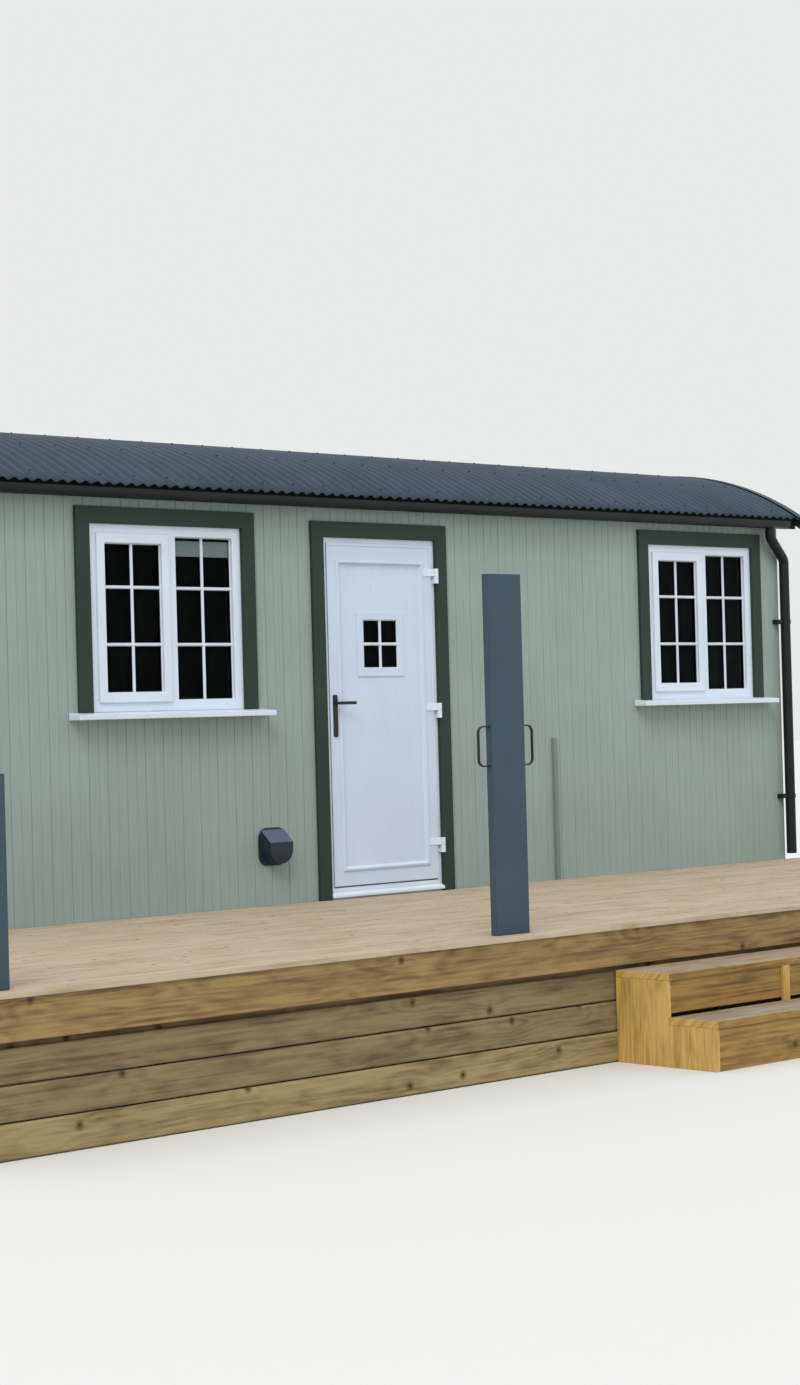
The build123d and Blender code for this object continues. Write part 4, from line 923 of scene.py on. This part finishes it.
class HUT_OT_door(bpy.types.Operator):
    """Door frame and surround, leaf with a grooved panel, its light, hinges and handle"""
    bl_idname = "hut.door"
    bl_label = "Door"

    def execute(self, context):
        s = sizes()
        softened("door_frame", HUT, "plastic", 0.003)
        softened("door_surround", HUT, "trim", 0.0025)
        softened("door_cill", HUT, "plastic", 0.002)
        softened("hinge_jamb_halves", HUT, "plastic", smooth=True)
        softened("door_leaf", DOOR, "door", 0.002)
        softened("door_light_frame", DOOR, "door", 0.004)
        softened("hinge_leaf_halves", DOOR, "plastic", smooth=True)
        softened("handle_plates", DOOR, "handle", 0.002)
        softened("door_lever", LEVER, "handle", 0.003, smooth=True)
        paint(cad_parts["door_light_pane"].data, "glass")
        low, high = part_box("door_light_pane")
        bars = bmesh.new()
        glazing(low, high, ((low.z + high.z) / 2,), bars, bars)
        piece("door_light_bars", mesh_of(bars, "bars"), DOOR, "plastic")
        # Boards round the light, their joints centred on the leaf
        tree = board_tree()
        half, shift = s.panel_width / 2, s.panel_cover / 2
        lap = 0.005  # how far the boards run under the light's frame
        low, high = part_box("door_light_frame")
        sill, head = low.z + lap, high.z - lap
        zones = [(-half, half, s.panel_bottom, sill), (-half, low.x + lap, sill, head),
                 (high.x - lap, half, sill, head), (-half, half, head, s.panel_top)]
        place = Matrix.Translation((shift, leaf_low.y + s.panel_recess, 0))
        grooves = {"Cover": s.panel_cover, "Joint": 0.007, "Joint Depth": 0.002, "Middle": 0.001,
                   "Middle Depth": 0.0, "Thickness": 0.003, "Material": finishes()["door"]}
        made = [grown(tree, {**board_values(start - shift, end - shift, bottom, top), **grooves}, place)
                for start, end, bottom, top in zones]
        piece("door_panel_boards", merged(made, "door_panel"), DOOR)
        moulding = bmesh.new()
        mitred(moulding, (0.0, (s.panel_bottom + s.panel_top) / 2), s.panel_width,
               s.panel_top - s.panel_bottom,
               [(0.0, -0.010), (0.0, 0.004), (0.005, 0.010), (0.016, 0.008), (0.020, 0.0)], leaf_low.y)
        piece("door_panel_moulding", mesh_of(moulding, "moulding"), DOOR, "door")
        # Lips that cover the gap at the sides and the top of the leaf
        lips = bmesh.new()
        chamfer, overlap = 0.0008, 0.006
        back, face = leaf_low.y + 0.0005, leaf_low.y - 0.0035
        over = leaf_high.z + s.door_lip
        for edge, way in ((leaf_low.x, -1), (leaf_high.x, 1)):
            ends = sorted((edge - way * overlap, edge + way * s.door_lip))
            slab(lips, (ends[0], face, leaf_low.z), (ends[1], back, over), chamfer, 2)
        inset = overlap + 0.0005
        slab(lips, (leaf_low.x + inset, face, leaf_high.z - overlap), (leaf_high.x - inset, back, over),
             chamfer)
        piece("door_lips", mesh_of(lips, "lips"), DOOR, "door")
        return {"FINISHED"}


class HUT_OT_fittings(bpy.types.Operator):
    """Vent cowl and cable trunking on the front wall"""
    bl_idname = "hut.fittings"
    bl_label = "Wall fittings"

    def execute(self, context):
        cowl = softened("vent_cowl", HUT, "cowl", 0.006, smooth=True)
        # Faces that look upwards take a lighter blue grey: painted reflection of the sky on the hood
        face_finish(cowl, "cowl_sky_reflection", lambda normal: normal.z > 0.3)
        softened("wall_trunking", HUT, "trunking", 0.002)
        return {"FINISHED"}


# Deck, steps and undercarriage


class HUT_OT_deck(bpy.types.Operator):
    """Deck boards with screws, joists, legs, fascia and skirt boards"""
    bl_idname = "hut.deck"
    bl_label = "Deck"

    def execute(self, context):
        s = sizes()
        rows, gap = 18, 0.005
        width = (deck_high.y - deck_low.y - (rows - 1) * gap) / rows
        first_row = deck_low.y + width / 2
        joists_low, joists_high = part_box("deck_joists")
        joist_count, joist_width = 21, 0.045
        joist_pitch = (joists_high.x - joists_low.x - joist_width) / (joist_count - 1)
        joists = [joists_low.x + joist_width / 2 + number * joist_pitch for number in range(joist_count)]
        middle_joist, quarter_joist = joists[10], joists[5]  # the boards of every other row meet over each
        made = grown(deck_tree(), {
            "Left": deck_low.x, "Right": deck_high.x, "First Row": first_row, "Pitch": width + gap,
            "Width": width, "Thickness": deck_high.z - deck_low.z, "Level": deck_high.z,
            "Joint A": middle_joist, "Joint B": quarter_joist, "Gap": 0.003, "Edge": 0.004, "Rows": rows,
            "Material": finishes()["deck"]})
        boards = piece("deck_boards_laid", merged([made], "deck"), HUT,
                       replaces=("deck_boards",))
        # The boards' upright ends take the darker fascia timber: painted shade on the board edges
        face_finish(boards, "fascia", board_end)
        from_middle, sunk = 0.045, 0.001
        up = Vector((0, 0, 1))
        spots = [(Vector((x, first_row + row * (width + gap) + offset, deck_high.z - sunk)), up)
                 for x in joists for row in range(rows) for offset in (-from_middle, from_middle)]
        fixings("deck_screws", "screw", spots, (s.screw_head, 0.0012, 8),
                (s.screw_head, 0.0005, 8))
        softened("deck_fascia", HUT, "fascia", 0.003, grain="round")
        skirt_low, skirt_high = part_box("deck_skirt")
        softened("deck_skirt", HUT, "skirt", 0.008, grain="round",
                 pale_below=(skirt_low.z + skirt_high.z) / 2)
        for node, along in (("deck_joists", "Y"), ("deck_bearers", "X"), ("deck_legs", "Z")):
            softened(node, HUT, "fascia", grain=along)
        return {"FINISHED"}


class HUT_OT_steps(bpy.types.Operator):
    """Sides, treads, risers and the middle batten of the steps"""
    bl_idname = "hut.steps"
    bl_label = "Steps"

    def execute(self, context):
        softened("step_sides", HUT, "fresh", 0.002, grain="Z")
        treads = softened("step_treads", HUT, "tread", 0.003, grain="X")
        face_finish(treads, "riser", long_edge)
        face_finish(treads, "fresh", board_end)
        softened("step_risers", HUT, "riser", 0.002, grain="X")
        softened("step_batten", HUT, "fresh", 0.002, grain="Z")
        return {"FINISHED"}


class HUT_OT_posts(bpy.types.Operator):
    """The two deck posts and the loops"""
    bl_idname = "hut.posts"
    bl_label = "Deck posts"

    def execute(self, context):
        softened("tall_post", HUT, "post", 0.003)
        softened("end_post", HUT, "post", 0.003)
        softened("post_loops", HUT, "handle", 0.0015, smooth=True)
        return {"FINISHED"}


class HUT_OT_undercarriage(bpy.types.Operator):
    """Chassis, axles and wheels"""
    bl_idname = "hut.undercarriage"
    bl_label = "Undercarriage"

    def execute(self, context):
        softened("chassis_rails", HUT, "chassis", 0.002)
        softened("chassis_crossmembers", HUT, "chassis", 0.002)
        softened("axle_stands", HUT, "chassis", 0.002, smooth=True)
        softened("axles", HUT, "chassis", smooth=True)
        softened("wheels", HUT, "iron", 0.002, smooth=True)
        return {"FINISHED"}


class HUT_OT_inside(bpy.types.Operator):
    """The floor inside"""
    bl_idname = "hut.inside"
    bl_label = "Inside"

    def execute(self, context):
        softened("floor_panel", HUT, "floor", grain="X")
        return {"FINISHED"}


class HUT_OT_stage(bpy.types.Operator):
    """Pale floor, soft light and the camera"""
    bl_idname = "hut.stage"
    bl_label = "Stage"

    def execute(self, context):
        scene = context.scene
        # Camera fitted to the photograph: 800 x 1385, 2599.4 px focal length
        focal_px, long_side, sensor = 2599.44, 1385.0, 36.0
        yaw, pitch, roll = 0.75244, 0.00892, -0.027
        spot = Vector((-10.4547, FRONT - 11.323, 1.7391))
        forward = Vector((math.sin(yaw) * math.cos(pitch), math.cos(yaw) * math.cos(pitch), math.sin(pitch)))
        right = Vector((math.cos(yaw), -math.sin(yaw), 0.0))
        up = right.cross(forward)
        turned_right = right * math.cos(roll) + up * math.sin(roll)
        turned_up = up * math.cos(roll) - right * math.sin(roll)
        lens = bpy.data.cameras.new("photo_camera")
        lens.sensor_width = sensor
        lens.lens = focal_px / long_side * sensor
        lens.clip_end = 200.0
        camera = placed("photo_camera", lens)
        turned = Matrix((turned_right, turned_up, -forward)).transposed().to_4x4()
        camera.matrix_world = Matrix.Translation(spot) @ turned
        scene.camera = camera
        ground = bmesh.new()
        bmesh.ops.create_grid(ground, x_segments=1, y_segments=1, size=90.0)
        floor = placed("studio_floor", mesh_of(ground, "studio_floor"))
        floor.location.z = -0.0005
        # Matt pale floor that holds a soft shadow
        floor.data.materials.append(surface(
            "pale_studio_floor", {"Base Color": linear("#DCDCD8"), "Roughness": 0.95})[0])
        world = bpy.data.worlds.new("soft_studio")
        scene.world = world
        world.use_nodes = True
        world.node_tree.nodes.clear()
        node = partial(add, world.node_tree)
        path = node("ShaderNodeLightPath", out=None)
        seen = node("MAXIMUM", path["Is Camera Ray"], path["Is Transmission Ray"])
        light = node("ShaderNodeBackground", linear("#F2F5FA"), 1.0)
        back = node("ShaderNodeBackground", linear("#E9EAEA"), 1.0)
        node("ShaderNodeOutputWorld", node("ShaderNodeMixShader", seen, light, back))
        sun = bpy.data.lights.new("soft_sun", "SUN")
        sun.energy = 1.5
        sun.angle = math.radians(28)
        sun.color = (1.0, 0.97, 0.93)
        lamp = placed("soft_sun", sun)
        lamp.rotation_mode = "QUATERNION"
        lamp.rotation_quaternion = Vector((-0.7, -0.55, 0.95)).to_track_quat("Z", "Y")
        scene.view_settings.view_transform = "Standard"
        return {"FINISHED"}


OPERATORS = (
    HUT_OT_stage, HUT_OT_wall_boards, HUT_OT_roof, HUT_OT_rainwater, HUT_OT_windows, HUT_OT_door,
    HUT_OT_fittings, HUT_OT_deck, HUT_OT_steps, HUT_OT_posts, HUT_OT_undercarriage, HUT_OT_inside,
)


class HUT_PT_panel(bpy.types.Panel):
    """Lists the hut's steps, sizes and colours"""
    bl_idname = "HUT_PT_panel"
    bl_label = "Shepherds Hut"
    bl_space_type = "VIEW_3D"
    bl_region_type = "UI"
    bl_category = "Hut"

    def draw(self, context):
        column = self.layout.column(align=True)
        for operator in OPERATORS:
            column.operator(operator.bl_idname)
        for group in (context.scene.hut_sizes, context.scene.hut_colours):
            box = self.layout.box()
            for name in group.__annotations__:
                box.prop(group, name)


CLASSES = (HutSizes, HutColours, *OPERATORS, HUT_PT_panel)


def register():
    for cls in CLASSES:
        bpy.utils.register_class(cls)
    bpy.types.Scene.hut_sizes = bpy.props.PointerProperty(type=HutSizes)
    bpy.types.Scene.hut_colours = bpy.props.PointerProperty(type=HutColours)


def unregister():
    del bpy.types.Scene.hut_colours
    del bpy.types.Scene.hut_sizes
    for cls in reversed(CLASSES):
        bpy.utils.unregister_class(cls)


def main():
    register()
    for operator in OPERATORS:
        group, name = operator.bl_idname.split(".")
        getattr(getattr(bpy.ops, group), name)()


if __name__ == "__main__":
    main()
